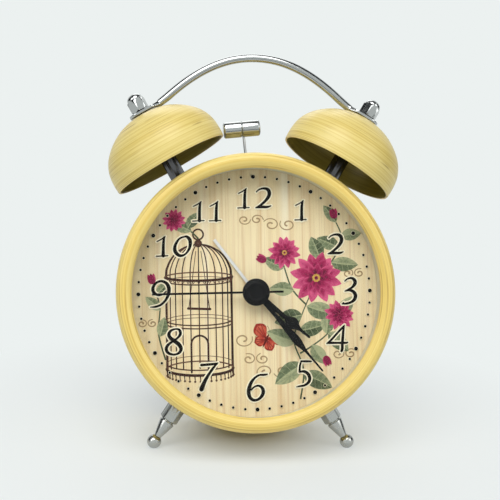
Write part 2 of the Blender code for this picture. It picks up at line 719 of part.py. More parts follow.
def handle_points():
    """The rod's centre line: an arch, then straight down to the plane of each end plate."""
    centre_z = HANDLE_APEX_Z - HANDLE_ARCH_RADIUS
    half = [
        (HANDLE_ARCH_RADIUS * sin(a), centre_z + HANDLE_ARCH_RADIUS * cos(a))
        for a in (HANDLE_ARCH_ANGLE * i / HANDLE_ARCH_STEPS for i in range(HANDLE_ARCH_STEPS + 1))
    ]
    plate = BELL_HEIGHT + GAP + HANDLE_PLATE_THICKNESS / 2
    plate_x = BELL_MOUTH_X + plate * sin(BELL_TILT)
    plate_z = BELL_MOUTH_Z + plate * cos(BELL_TILT)
    x, z = half[-1]
    down_x, down_z = cos(HANDLE_ARCH_ANGLE), -sin(HANDLE_ARCH_ANGLE)
    across = (plate_x - x) * sin(BELL_TILT) + (plate_z - z) * cos(BELL_TILT)
    run = across / (down_x * sin(BELL_TILT) + down_z * cos(BELL_TILT))
    x, z = x + run * down_x, z + run * down_z
    half.append((x, z))
    half.append((x + HANDLE_ROD * cos(BELL_TILT), z - HANDLE_ROD * sin(BELL_TILT)))
    return half, hypot(x - plate_x, z - plate_z)


def make_handle():
    half, inner = handle_points()
    whole = [(-x, z) for x, z in half[:0:-1]] + half
    curve = bpy.data.curves.new("handle", "CURVE")
    curve.dimensions = "3D"
    curve.bevel_depth = HANDLE_ROD / 2
    curve.bevel_resolution = 2
    curve.use_fill_caps = True
    spline = curve.splines.new("POLY")
    spline.points.add(len(whole) - 1)
    for point, (x, z) in zip(spline.points, whole):
        point.co = (x, BELL_PLANE_Y, z, 1)
    handle = mesh_from_curve("handle", curve, chrome)
    low = BELL_HEIGHT + GAP
    high = low + HANDLE_PLATE_THICKNESS
    for side in (-1, 1):
        middle = side * (HANDLE_PLATE_OUTER - inner) / 2
        outline = rounded_box(
            (HANDLE_PLATE_OUTER + inner) / 2, HANDLE_PLATE_WIDTH / 2, HANDLE_PLATE_CORNER, middle
        )
        plate = flat(f"handle_plate_{side}", [outline, circle(STUD_RADIUS + GAP, SMALL_FACETS)], low, high)
        join(handle, placed(plate, bell_place(side)))
    return handle


# Feet: a hex collar, a cone and a ball, threaded through the case into a nut


def leg_place(side):
    return facing_out(side, LEG_PLANE_Y, pi - LEG_ANGLE)


def make_leg(side, name):
    thread_start = CASE_INSIDE_RADIUS - LEG_NUT_HEIGHT - 2 * GAP
    collar_start = CASE_RADIUS + GAP
    collar_end = CASE_RADIUS + LEG_COLLAR_LENGTH
    collar = flat("leg_" + name, [polygon(LEG_COLLAR_ACROSS)], collar_start, collar_end, chrome)
    cone_radius = LEG_COLLAR_ACROSS * LEG_CONE_SHARE / 2
    neck = LEG_BALL_DISTANCE - sqrt(LEG_BALL_RADIUS**2 - LEG_NECK_RADIUS**2)
    ball_start = pi - asin(LEG_NECK_RADIUS / LEG_BALL_RADIUS)
    ball = [
        (LEG_BALL_RADIUS * sin(a), LEG_BALL_DISTANCE + LEG_BALL_RADIUS * cos(a))
        for a in (ball_start * (1 - i / BALL_STEPS) for i in range(BALL_STEPS + 1))
    ]
    profile = [(0, thread_start), (LEG_THREAD_RADIUS, thread_start)]
    profile += [(LEG_THREAD_RADIUS, collar_start + GAP), (cone_radius, collar_start + GAP)]
    profile += [(cone_radius, collar_end + LEG_SHOULDER), (LEG_NECK_RADIUS, neck)] + ball[1:]
    foot = placed(turned("foot_" + name, profile, SMALL_FACETS), leg_place(side))
    return cut_to_ground(join(placed(collar, leg_place(side)), foot))


def make_leg_nut(side, name):
    top = CASE_INSIDE_RADIUS - GAP
    outlines = [polygon(LEG_NUT_ACROSS), circle(LEG_THREAD_RADIUS + GAP, SMALL_FACETS)]
    return placed(flat("leg_nut_" + name, outlines, top - LEG_NUT_HEIGHT, top, steel), leg_place(side))


# Hands, each drawn pointing up, which is minus Y in its own frame


def hand_outline(boss_radius, side, tail=()):
    """A hand's outline from points of half width and distance up its right side, round its boss."""
    right = [(w, -d) for w, d in side]
    left = [(-w, -d) for w, d in reversed(side) if w]
    root = asin(side[0][0] / boss_radius)
    if not tail:
        return right + left + arc((0, 0), boss_radius, -pi / 2 - root, -5 * pi / 2 + root, 14)[1:-1]
    tail_root = asin(tail[0][0] / boss_radius)
    around_left = arc((0, 0), boss_radius, -pi / 2 - root, -3 * pi / 2 + tail_root, 7)[1:-1]
    around_right = [(-x, y) for x, y in reversed(around_left)]
    tail_left = [(-w, d) for w, d in tail]
    tail_right = [(w, d) for w, d in reversed(tail)]
    return right + left + around_left + tail_left + tail_right + around_right


def make_hand(name, y, angle, boss_radius, bore_radius, side, finish):
    outline = hand_outline(boss_radius, side)
    outlines = [outline, circle(bore_radius, HOLE_FACETS)]
    return placed(flat(name, outlines, 0, HAND_THICKNESS, finish), facing_back(0, y, 0, angle))


def make_hands():
    boss = ALARM_PIPE + 3 * GAP
    half = ALARM_HAND_WIDTH / 2
    side = [(half, boss * cos(asin(half / boss))), (half, ALARM_HAND_LENGTH)]
    make_hand("alarm_hand", ALARM_HAND_Y, ALARM_HAND_ANGLE, boss, ALARM_PIPE + GAP, side, white_paint)

    boss = HOUR_PIPE + 4 * GAP
    side = [(boss * w, HOUR_HAND_LENGTH * d) for w, d in HOUR_HAND_SHARES]
    make_hand("hour_hand", HOUR_HAND_Y, HOUR_HAND_ANGLE, boss, HOUR_PIPE + GAP, side, black_paint)

    boss = MINUTE_PIPE + 5 * GAP
    side = [(boss * w, MINUTE_HAND_LENGTH * d) for w, d in MINUTE_HAND_SHARES]
    make_hand("minute_hand", MINUTE_HAND_Y, MINUTE_HAND_ANGLE, boss, MINUTE_PIPE + GAP, side, black_paint)

    boss = HUB_CAP_RADIUS * HUB_STEP_SHARE
    half = SECOND_HAND_WIDTH / 2
    root = boss * cos(asin(half / boss))
    outline = hand_outline(
        boss,
        [(half, root), (half, SECOND_HAND_LENGTH)],
        [(half, root), (half, SECOND_HAND_TAIL)],
    )
    second = flat("second_hand", [outline], 0, HAND_THICKNESS, black_paint)
    cap_front = -HUB_CAP_HEIGHT
    raised = -HUB_CAP_HEIGHT - HUB_STEP_HEIGHT
    profile = [(0, raised), (boss, raised), (boss, cap_front), (HUB_CAP_RADIUS - HUB_CHAMFER, cap_front)]
    profile += [(HUB_CAP_RADIUS, cap_front + HUB_CHAMFER), (HUB_CAP_RADIUS, HAND_THICKNESS / 2)]
    profile.append((0, HAND_THICKNESS / 2))
    cap = turned("hub_cap", profile, LARGE_FACETS // 2)
    bore = cylinder("hub_bore", SECOND_ARBOR_RADIUS + GAP, -HUB_CAP_HEIGHT / 2, CUT_PAST)
    place = facing_back(0, SECOND_HAND_Y, 0, SECOND_HAND_ANGLE)
    for piece in (second, cap, bore):
        placed(piece, place)
    return cut(join(second, cap), bore)


# Movement: a tray, its lid, a middle plate and the train of wheels between them


def level(number):
    """The middle of a level of wheels, counted from the front wall of the movement."""
    return MOVEMENT_Y + MOVEMENT_WALL + FIRST_LEVEL + number * LEVEL_STEP


def movement_outline(inset):
    """The housing's rounded outline in the frame whose Y points down, drawn in by an inset."""
    middle = -(MOVEMENT_TOP_Z + MOVEMENT_BOTTOM_Z) / 2
    half_height = (MOVEMENT_TOP_Z - MOVEMENT_BOTTOM_Z) / 2
    corner = MOVEMENT_CORNER - inset
    return rounded_box(MOVEMENT_HALF_WIDTH - inset, half_height - inset, corner, 0, middle)


def hole_at(place, radius, facets=SMALL_FACETS):
    return circle(radius, facets, place[0], -place[1])


def make_movement_housing():
    lid_y = MOVEMENT_BACK_Y - MOVEMENT_WALL
    outlines = [movement_outline(0), circle(CENTRE_HOLE, HOLE_FACETS)]
    front = flat("movement_front", outlines, MOVEMENT_Y, MOVEMENT_Y + MOVEMENT_WALL, grey_plastic)
    outlines = [movement_outline(GAP / 2), movement_outline(MOVEMENT_WALL)]
    wall = flat("movement_wall", outlines, MOVEMENT_Y + MOVEMENT_WALL / 2, lid_y - GAP)
    x, z = MOTION_PLACE
    stud = cylinder("motion_stud", ARBOR_RADIUS, MOVEMENT_Y + MOVEMENT_WALL / 2, level(3) - LEVEL_STEP / 2)
    placed(front, facing_back(0, 0, 0))
    placed(wall, facing_back(0, 0, 0))
    placed(stud, facing_back(x, 0, z))
    join(front, wall, stud)

    bore = KNOB_ARBOR_RADIUS + GAP
    outlines = [movement_outline(0), hole_at(TIME_PLACE, bore), hole_at(ALARM_PLACE, bore)]
    lid = flat("movement_lid", outlines, lid_y, MOVEMENT_BACK_Y, grey_plastic)
    placed(lid, facing_back(0, 0, 0))

    outlines = [movement_outline(MOVEMENT_WALL + GAP)]
    outlines += [hole_at(place, bore) for place in (TIME_PLACE, ALARM_PLACE, (0, 0))]
    outlines += [hole_at(place, ARBOR_RADIUS + GAP) for place in (THIRD_PLACE, STEP_PLACE, ROTOR_PLACE)]
    plate = flat("middle_plate", outlines, MIDDLE_PLATE_Y, MIDDLE_PLATE_Y + MIDDLE_PLATE_THICKNESS, brass)
    return placed(plate, facing_back(0, 0, 0))


def wheel(name, teeth, radius, phase, y, thickness, bore=0.0, finish=None):
    outlines = [gear_outline(teeth, radius, phase)]
    if bore:
        outlines.append(circle(bore, SMALL_FACETS))
    return flat(name, outlines, y - thickness / 2, y + thickness / 2, finish)


def compound(pieces, place):
    """Wheels, pinions and an arbor or a pipe on one axis, joined into one piece."""
    for piece in pieces:
        placed(piece, facing_back(place[0], 0, place[1]))
    return join(pieces[0], *pieces[1:])


def make_train():
    """Going train from the rotor to the minute pipe, and the motion work to the hour pipe."""
    arbor_end = MOVEMENT_BACK_Y - MOVEMENT_WALL - GAP
    arbor_start = MOVEMENT_Y + MOVEMENT_WALL + GAP
    plate_pivot = MIDDLE_PLATE_Y + GAP / 2
    second_level = level(SECOND_WHEEL_LEVEL_SHARE)
    step_level = level(STEP_WHEEL_LEVEL_SHARE)

    cannon_radius, motion_radius = pitch_radii(MOTION_DISTANCE, CANNON_TEETH, MOTION_TEETH)
    motion_pinion_radius, hour_radius = pitch_radii(MOTION_DISTANCE, MOTION_PINION_TEETH, HOUR_TEETH)
    second_pinion_radius, third_radius = pitch_radii(THIRD_DISTANCE, SECOND_PINION_TEETH, THIRD_TEETH)
    third_pinion_radius, centre_radius = pitch_radii(THIRD_DISTANCE, THIRD_PINION_TEETH, CENTRE_TEETH)
    step_pinion_radius, second_radius = pitch_radii(STEP_DISTANCE, STEP_PINION_TEETH, SECOND_TEETH)
    rotor_pinion_radius, step_radius = pitch_radii(ROTOR_DISTANCE, ROTOR_PINION_TEETH, STEP_TEETH)
    alarm_radius, alarm_pinion_radius = pitch_radii(ALARM_DISTANCE, ALARM_TEETH, ALARM_PINION_TEETH)

    motion_phase = meshed_phase(-MOTION_DIRECTION, CANNON_TEETH, 0, MOTION_TEETH)
    time_phase = meshed_phase(-TIME_ARBOR_DIRECTION, MOTION_TEETH, motion_phase, TIME_PINION_TEETH)
    hour_phase = meshed_phase(pi - MOTION_DIRECTION, MOTION_PINION_TEETH, 0, HOUR_TEETH)
    third_phase = meshed_phase(-THIRD_DIRECTION, SECOND_PINION_TEETH, 0, THIRD_TEETH)
    centre_phase = meshed_phase(pi - THIRD_DIRECTION, THIRD_PINION_TEETH, 0, CENTRE_TEETH)
    second_phase = meshed_phase(pi - STEP_DIRECTION, STEP_PINION_TEETH, 0, SECOND_TEETH)
    step_phase = meshed_phase(pi - ROTOR_DIRECTION, ROTOR_PINION_TEETH, 0, STEP_TEETH)
    alarm_phase = meshed_phase(-ALARM_DIRECTION, ALARM_TEETH, 0, ALARM_PINION_TEETH)

    def gear(name, teeth, radius, phase, at, bore=0.0, finish=None, thick=WHEEL_THICKNESS):
        return wheel(name, teeth, radius, phase, at, thick, bore, finish)

    thick = PINION_THICKNESS
    alarm_pipe = tube("alarm_pipe", ALARM_PIPE, ALARM_BORE, ALARM_HAND_Y - GAP / 2, level(0) + thick / 2)
    bore = ALARM_BORE + PIPE_WALL / 2
    alarm_wheel = gear("alarm_wheel", ALARM_TEETH, alarm_radius, 0, level(0), bore, cream_plastic)
    compound([alarm_wheel, alarm_pipe], (0, 0))

    hour_pipe = tube("hour_pipe", HOUR_PIPE, HOUR_BORE, HOUR_HAND_Y - GAP / 2, level(1) + thick / 2)
    bore = HOUR_BORE + PIPE_WALL / 2
    hour_wheel = gear("hour_wheel", HOUR_TEETH, hour_radius, hour_phase, level(1), bore, cream_plastic)
    compound([hour_wheel, hour_pipe], (0, 0))

    minute_pipe = tube(
        "minute_tube", MINUTE_PIPE, MINUTE_BORE, MINUTE_HAND_Y - GAP / 2, level(3) + thick / 2
    )
    bore = MINUTE_BORE + PIPE_WALL / 2
    cannon = gear("minute_pipe", CANNON_TEETH, cannon_radius, 0, level(2), bore, brass, thick)
    compound([cannon, minute_pipe], (0, 0))
    bore = MINUTE_PIPE + GAP
    centre = gear("centre_wheel", CENTRE_TEETH, centre_radius, centre_phase, level(3), bore, brass)
    placed(centre, facing_back(0, 0, 0))

    stud_bore = ARBOR_RADIUS + GAP
    motion = gear(
        "motion_wheel", MOTION_TEETH, motion_radius, motion_phase, level(2), stud_bore, cream_plastic
    )
    pinion = wheel(
        "motion_pinion", MOTION_PINION_TEETH, motion_pinion_radius, 0,
        (level(1) + level(2)) / 2, LEVEL_STEP + WHEEL_THICKNESS / 2, stud_bore,
    )
    compound([motion, pinion], MOTION_PLACE)

    second_arbor = cylinder("second_arbor", SECOND_ARBOR_RADIUS, SECOND_HAND_Y - GAP / 2, arbor_end)
    pinion = gear("second_pinion", SECOND_PINION_TEETH, second_pinion_radius, 0, level(4), thick=thick)
    second = gear("second_wheel", SECOND_TEETH, second_radius, second_phase, second_level, 0.0, brass)
    compound([second, pinion, second_arbor], (0, 0))

    third_arbor = cylinder("third_arbor", ARBOR_RADIUS, arbor_start, arbor_end)
    pinion = gear("third_pinion", THIRD_PINION_TEETH, third_pinion_radius, 0, level(3), thick=thick)
    third = gear("third_wheel", THIRD_TEETH, third_radius, third_phase, level(4), 0.0, brass)
    compound([third, pinion, third_arbor], THIRD_PLACE)

    step_arbor = cylinder("step_arbor", ARBOR_RADIUS, plate_pivot, arbor_end)
    pinion = gear("step_pinion", STEP_PINION_TEETH, step_pinion_radius, 0, second_level, thick=thick)
    step = gear("step_wheel", STEP_TEETH, step_radius, step_phase, step_level, 0.0, cream_plastic)
    compound([step, pinion, step_arbor], STEP_PLACE)

    magnet = cylinder("rotor", MAGNET_RADIUS, arbor_end - GAP - MAGNET_LENGTH, arbor_end - GAP, finish=steel)
    rotor_arbor = cylinder("rotor_arbor", ARBOR_RADIUS, plate_pivot, arbor_end)
    pinion = gear("rotor_pinion", ROTOR_PINION_TEETH, rotor_pinion_radius, 0, step_level, thick=thick)
    compound([magnet, pinion, rotor_arbor], ROTOR_PLACE)

    knob_end = COVER_BACK_Y + GAP + KNOB_HEIGHT * KNOB_BORE_SHARE
    for name, teeth, radius, phase, at, place in (
        ("time_arbor", TIME_PINION_TEETH, cannon_radius, time_phase, level(2), TIME_PLACE),
        ("alarm_arbor", ALARM_PINION_TEETH, alarm_pinion_radius, alarm_phase, level(0), ALARM_PLACE),
    ):
        pinion = gear(name, teeth, radius, phase, at, 0.0, steel)
        arbor = cylinder(name + "_rod", KNOB_ARBOR_RADIUS, at, knob_end)
        compound([pinion, arbor], place)


def make_motor_parts():
    """The stator with its limb through the coil, the coil, and the circuit board."""
    back = MOVEMENT_BACK_Y - MOVEMENT_WALL - GAP
    front = back - STATOR_THICKNESS
    middle = (ROTOR_PLACE[0] + STATOR_OFFSET_X, ROTOR_PLACE[1] + STATOR_OFFSET_Z)
    window_half_x = STATOR_WIDTH / 2 - STATOR_LIMB
    window_half_z = COIL_RADIUS + 3 * GAP
    window_z = middle[1] - STATOR_HEIGHT / 2 + STATOR_LIMB + window_half_z
    outlines = [
        rounded_box(STATOR_WIDTH / 2, STATOR_HEIGHT / 2, STATOR_LIMB / 2, middle[0], -middle[1]),
        hole_at(ROTOR_PLACE, MAGNET_RADIUS + GAP),
        rounded_box(window_half_x, window_half_z, GAP, middle[0], -window_z, 1),
    ]
    stator = placed(flat("stator", outlines, front, back, steel), facing_back(0, 0, 0))
    coil_y = back - COIL_RADIUS
    core_half = window_half_x + STATOR_LIMB / 2
    along = Matrix.Translation((middle[0], coil_y, window_z)) @ Matrix.Rotation(pi / 2, 4, "Y")
    core = cylinder("stator_core", CORE_RADIUS, -core_half, core_half)
    join(stator, placed(core, along))
    half = COIL_LENGTH / 2
    coil = tube("coil", COIL_RADIUS, CORE_RADIUS + GAP, -half, half, SMALL_FACETS, copper)
    placed(coil, along)

    right = MOVEMENT_HALF_WIDTH - MOVEMENT_WALL - GAP
    low = MOVEMENT_BOTTOM_Z + MOVEMENT_WALL + GAP
    outline = rounded_box(
        BOARD_WIDTH / 2, BOARD_HEIGHT / 2, MOVEMENT_CORNER - MOVEMENT_WALL,
        right - BOARD_WIDTH / 2, -low - BOARD_HEIGHT / 2,
    )
    board = flat("circuit_board", [outline], back - BOARD_THICKNESS, back, green_board)
    placed(board, facing_back(0, 0, 0))


# Alarm hammer: a frame on the cover's bosses, a motor, a crank gear and the swinging arm


def make_hammer():
    low = HAMMER_PIVOT_Z - FRAME_BELOW_PIVOT
    high = MOTOR_Z + FRAME_ABOVE_MOTOR
    outlines = [
        rounded_box(
            FRAME_HALF_WIDTH, (high - low) / 2, FRAME_CORNER, 0, -(high + low) / 2
        ),
        hole_at((0, HAMMER_PIVOT_Z), HAMMER_PIN_RADIUS + GAP),
        hole_at((0, MOTOR_Z), MOTOR_SHAFT_RADIUS + 2 * GAP),
    ]
    frame = flat("hammer_frame", outlines, FRAME_Y, FRAME_Y + FRAME_THICKNESS, steel)
    gear_back = CRANK_GEAR_Y + CRANK_GEAR_THICKNESS
    stud = cylinder(
        "crank_stud", CRANK_STUD_RADIUS, gear_back - CRANK_BORE_DEPTH + GAP, FRAME_Y + FRAME_THICKNESS / 2
    )
    placed(frame, facing_back(0, 0, 0))
    join(frame, placed(stud, facing_back(0, 0, CRANK_Z)))

    arm_front = BELL_PLANE_Y - HAMMER_ARM_THICKNESS / 2
    head = HAMMER_PIN_RADIUS + 2 * GAP
    front = arm_front - GAP - HAMMER_ARM_THICKNESS / 2
    profile = [(0, FRAME_Y + FRAME_THICKNESS), (HAMMER_PIN_RADIUS, FRAME_Y + FRAME_THICKNESS)]
    profile += [(HAMMER_PIN_RADIUS, arm_front - GAP), (head, arm_front - GAP), (head, front), (0, front)]
    pin = turned("hammer_pivot_pin", profile, SMALL_FACETS, steel)
    placed(pin, facing_back(0, 0, HAMMER_PIVOT_Z))

    motor = cylinder(
        "alarm_motor", MOTOR_RADIUS, FRAME_Y + FRAME_THICKNESS + GAP,
        FRAME_Y + FRAME_THICKNESS + GAP + MOTOR_LENGTH, HOLE_FACETS, steel, chamfer=2 * GAP,
    )
    shaft_end = FRAME_Y + FRAME_THICKNESS + GAP + MOTOR_SHAFT_DEPTH
    bore = cylinder("motor_bore", MOTOR_SHAFT_RADIUS + GAP, FRAME_Y, shaft_end + GAP)
    place = facing_back(0, 0, MOTOR_Z)
    cut(placed(motor, place), placed(bore, place))

    gear_middle = CRANK_GEAR_Y + CRANK_GEAR_THICKNESS / 2
    pinion_radius, crank_radius = pitch_radii(MOTOR_DISTANCE, MOTOR_PINION_TEETH, CRANK_TEETH)
    phase = meshed_phase(-pi / 2, CRANK_TEETH, 0, MOTOR_PINION_TEETH)
    pinion = wheel(
        "motor_pinion", MOTOR_PINION_TEETH, pinion_radius, phase, gear_middle, CRANK_GEAR_THICKNESS,
        finish=brass,
    )
    shaft = cylinder("motor_shaft", MOTOR_SHAFT_RADIUS, gear_middle, shaft_end)
    compound([pinion, shaft], (0, MOTOR_Z))

    crank = wheel("crank_gear", CRANK_TEETH, crank_radius, 0, gear_middle, CRANK_GEAR_THICKNESS)
    crank.data.materials.append(cream_plastic)
    bore = cylinder("crank_bore", CRANK_STUD_RADIUS + GAP, gear_back - CRANK_BORE_DEPTH, gear_back + CUT_PAST)
    crank_pin = cylinder("crank_pin", CRANK_PIN_RADIUS, arm_front - GAP, CRANK_GEAR_Y + GAP)
    place = facing_back(0, 0, CRANK_Z)
    placed(crank, place)
    placed(bore, place)
    placed(crank_pin, place @ Matrix.Translation((CRANK_THROW, 0, 0)))
    cut(join(crank, crank_pin), bore)
    make_hammer_arm()


def make_hammer_arm():
    """The arm in its own frame at its pivot, wire pointing to minus Y, with an eye round the crank pin."""
    place = facing_back(0, BELL_PLANE_Y, HAMMER_PIVOT_Z, -HAMMER_TILT)
    half = HAMMER_ARM_THICKNESS / 2
    bore = HAMMER_PIN_RADIUS + GAP
    hub = bore + HAMMER_HUB_WALL
    eye_half_height = CRANK_THROW + CRANK_PIN_RADIUS + GAP
    eye_half_width = eye_half_height + CRANK_ABOVE_PIVOT * sin(HAMMER_TILT)
    outer = eye_half_width + HAMMER_EYE_WALL
    outline = arc((0, 0), hub, pi, 0, 10) + arc((0, -CRANK_ABOVE_PIVOT), outer, 0, -pi, 16)
    eye = rounded_box(eye_half_width, eye_half_height, eye_half_height - GAP, 0, -CRANK_ABOVE_PIVOT)
    hole = circle(bore + HAMMER_HUB_WALL / 2, SMALL_FACETS)
    arm = flat("hammer_arm", [outline, hole, eye], -half, half, steel)
    sleeve = tube("hammer_sleeve", hub, bore, -half - GAP / 4, FRAME_Y - GAP - BELL_PLANE_Y)
    wire_low = CRANK_ABOVE_PIVOT + outer - GAP
    wire = cylinder("hammer_wire", HAMMER_WIRE / 2, wire_low, HAMMER_ARM_LENGTH)
    for piece in (arm, sleeve):
        placed(piece, place)
    placed(wire, place @ Matrix.Rotation(pi / 2, 4, "X"))
    join(arm, sleeve, wire)

    half = HAMMER_HEAD_LENGTH / 2
    rim = HAMMER_HEAD_RADIUS - HAMMER_HEAD_CHAMFER
    profile = [(0, half), (rim, half), (HAMMER_HEAD_RADIUS, half - HAMMER_HEAD_CHAMFER)]
    profile += [(HAMMER_HEAD_RADIUS, HAMMER_GROOVE), (HAMMER_HEAD_RADIUS - HAMMER_GROOVE, 0)]
    profile += [(HAMMER_HEAD_RADIUS, -HAMMER_GROOVE), (HAMMER_HEAD_RADIUS, HAMMER_HEAD_CHAMFER - half)]
    profile += [(rim, -half), (0, -half)]
    head = turned("hammer_head", profile, HOLE_FACETS, chrome)
    socket = cylinder(
        "head_socket", HAMMER_WIRE / 2 + GAP, HAMMER_ARM_LENGTH - HAMMER_HEAD_RADIUS - CUT_PAST,
        HAMMER_ARM_LENGTH + GAP,
    )
    placed(socket, place @ Matrix.Rotation(pi / 2, 4, "X"))
    lying = Matrix.Translation((0, -HAMMER_ARM_LENGTH, 0)) @ Matrix.Rotation(pi / 2, 4, "Y")
    cut(placed(head, place @ lying), socket)


# Rear cover with its battery bay, the door, battery, knobs and alarm switch


def bay_outline(inset):
    corner = BAY_WALL + GAP - inset
    return rounded_box(BAY_HALF_WIDTH - inset, BAY_HALF_HEIGHT - inset, corner, 0, -BATTERY_Z, 2)


def make_cover():
    slot = slot_outline(
        (SWITCH_TRAVEL + SWITCH_STEM) / 2 + GAP, SWITCH_STEM / 2 + GAP, 0, -SWITCH_Z
    )
    outlines = [circle(COVER_RADIUS, LARGE_FACETS), bay_outline(BAY_WALL), slot]
    outlines += [hole_at(place, KNOB_ARBOR_RADIUS + GAP) for place in (TIME_PLACE, ALARM_PLACE)]
    for angle in COVER_SCREW_ANGLES:
        hole = hole_at(beside((0, 0), COVER_SCREW_CIRCLE, angle), COVER_SCREW_SHANK + GAP)
        outlines.append(hole)
    cover = flat("back_cover", outlines, COVER_Y, COVER_BACK_Y, dark_plastic)
    wall = flat(
        "bay_wall", [bay_outline(0), bay_outline(BAY_WALL - GAP / 2)], BAY_Y + BAY_WALL / 2, COVER_Y + GAP
    )
    floor = flat("bay_floor", [bay_outline(GAP / 4)], BAY_Y, BAY_Y + BAY_WALL)
    bosses = []
    for side in (-1, 1):
        boss = cylinder(
            f"frame_boss_{side}", BOSS_RADIUS, FRAME_Y + FRAME_THICKNESS + GAP, COVER_Y + GAP
        )
        bosses.append(placed(boss, facing_back(side * BOSS_X, 0, BOSS_Z)))
    for piece in (cover, wall, floor):
        placed(piece, facing_back(0, 0, 0))
    return join(cover, wall, floor, *bosses)


def make_battery():
    half = BATTERY_LENGTH / 2
    body = half - BATTERY_NUB_HEIGHT
    edge = 2 * GAP
    profile = [(0, half), (BATTERY_NUB_RADIUS, half), (BATTERY_NUB_RADIUS, body)]
    profile += [(BATTERY_RADIUS - edge, body), (BATTERY_RADIUS, body - edge)]
    profile += [(BATTERY_RADIUS, edge - half), (BATTERY_RADIUS - edge, -half), (0, -half)]
    battery = turned("battery", profile, HOLE_FACETS, battery_label)
    lying = Matrix.Translation((0, BATTERY_Y, BATTERY_Z)) @ Matrix.Rotation(pi / 2, 4, "Y")
    placed(battery, lying)
    inside = BAY_HALF_WIDTH - BAY_WALL - GAP
    half_height = BATTERY_RADIUS * CONTACT_SHARE
    for side, name in ((-1, "negative"), (1, "positive")):
        box(
            "contact_" + name,
            (side * inside if side < 0 else inside - CONTACT_THICKNESS,
             BATTERY_Y - half_height, BATTERY_Z - half_height),
            (inside if side > 0 else CONTACT_THICKNESS - inside,
             BATTERY_Y + half_height, BATTERY_Z + half_height),
            steel,
        )


def make_door():
    """A plate hinged along its lower edge, flush in the cover, with a grip at its top edge."""
    half_width = BAY_HALF_WIDTH - BAY_WALL - GAP
    half_height = BAY_HALF_HEIGHT - BAY_WALL - GAP
    axis_y = COVER_BACK_Y - DOOR_THICKNESS / 2
    axis_z = BATTERY_Z - half_height + DOOR_THICKNESS / 2
    outline = rounded_box(half_width, half_height, GAP, 0, DOOR_THICKNESS / 2 - half_height, 2)
    door = flat("battery_door", [outline], -DOOR_THICKNESS / 2, DOOR_THICKNESS / 2, dark_plastic)
    grip_y = DOOR_THICKNESS / 2 - 2 * half_height + DOOR_GRIP_WIDTH
    grip = flat(
        "door_grip", [slot_outline(DOOR_GRIP_LENGTH / 2, DOOR_GRIP_WIDTH / 2, 0, grip_y)],
        0, DOOR_THICKNESS / 2 + DOOR_GRIP_HEIGHT,
    )
    place = facing_back(0, axis_y, axis_z)
    return join(placed(door, place), placed(grip, place))


def make_knobs():
    low = COVER_BACK_Y + GAP
    steps = [2 * pi * i / (2 * KNOB_RIBS) for i in range(2 * KNOB_RIBS)]
    ribbed = [
        ((KNOB_RADIUS - KNOB_RIB_DEPTH * (i % 2)) * cos(a), (KNOB_RADIUS - KNOB_RIB_DEPTH * (i % 2)) * sin(a))
        for i, a in enumerate(steps)
    ]
    for name, place in (("time_knob", TIME_PLACE), ("alarm_knob", ALARM_PLACE)):
        knob = flat(name, [ribbed], low, low + KNOB_HEIGHT, dark_plastic)
        bore = cylinder(
            name + "_bore", KNOB_ARBOR_RADIUS + GAP, low - CUT_PAST,
            low + KNOB_HEIGHT * KNOB_BORE_SHARE + GAP,
        )
        for piece in (knob, bore):
            placed(piece, facing_back(place[0], 0, place[1]))
        cut(knob, bore)


def make_switch():
    """A button outside and a flange inside the cover, joined by a stem through its slot."""
    x = -SWITCH_TRAVEL / 2
    button_front = COVER_BACK_Y + GAP
    flange_back = COVER_Y - GAP
    button = flat(
        "alarm_switch", [rounded_box(SWITCH_LENGTH / 2, SWITCH_WIDTH / 2, 2 * GAP)],
        button_front, button_front + SWITCH_HEIGHT, red_plastic,
    )
    stem = cylinder("switch_stem", SWITCH_STEM / 2, flange_back - GAP, button_front + GAP)
    flange = flat(
        "switch_flange", [rounded_box(SWITCH_LENGTH / 2, SWITCH_WIDTH / 2, 2 * GAP)],
        flange_back - SWITCH_FLANGE, flange_back,
    )
    for piece in (button, stem, flange):
        placed(piece, facing_back(x, 0, SWITCH_Z))
    return join(button, stem, flange)


def make_cover_screws():
    head = COVER_BACK_Y + GAP
    for number, angle in enumerate(COVER_SCREW_ANGLES, 1):
        x, z = beside((0, 0), COVER_SCREW_CIRCLE, angle)
        profile = [(0, head + COVER_SCREW_HEAD / 2), (COVER_SCREW_HEAD / 2, head + COVER_SCREW_HEAD / 2)]
        profile += [(COVER_SCREW_HEAD, head), (COVER_SCREW_SHANK, head)]
        profile += [(COVER_SCREW_SHANK, head - COVER_SCREW_LENGTH), (0, head - COVER_SCREW_LENGTH)]
        screw = turned(f"cover_screw_{number}", profile, SMALL_FACETS, steel)
        placed(screw, facing_back(x, 0, z))


# Standing the clock on the ground, with the middle of its base at the origin


def box_corners():
    """The lowest and highest corner of every part together, in world space."""
    bpy.context.view_layer.update()
    found = bpy.context.evaluated_depsgraph_get()
    points = []
    for obj in parts.objects:
        solid = obj.evaluated_get(found)
        points += [solid.matrix_world @ vertex.co for vertex in solid.data.vertices]
    low = [min(point[i] for point in points) for i in range(3)]
    high = [max(point[i] for point in points) for i in range(3)]
    return low, high


def stand_up():
    root.matrix_world = GROUND_PLACE.inverted()
    low, high = box_corners()
    centred = Matrix.Translation((-(low[0] + high[0]) / 2, -(low[1] + high[1]) / 2, 0))
    root.matrix_world = centred @ GROUND_PLACE.inverted()


clear_scene()
parts = make_collection("twin_bell_alarm_clock", False)
tools = make_collection("cutters_and_joined_shapes", True)
root = bpy.data.objects.new("clock_frame", None)
bpy.context.scene.collection.objects.link(root)

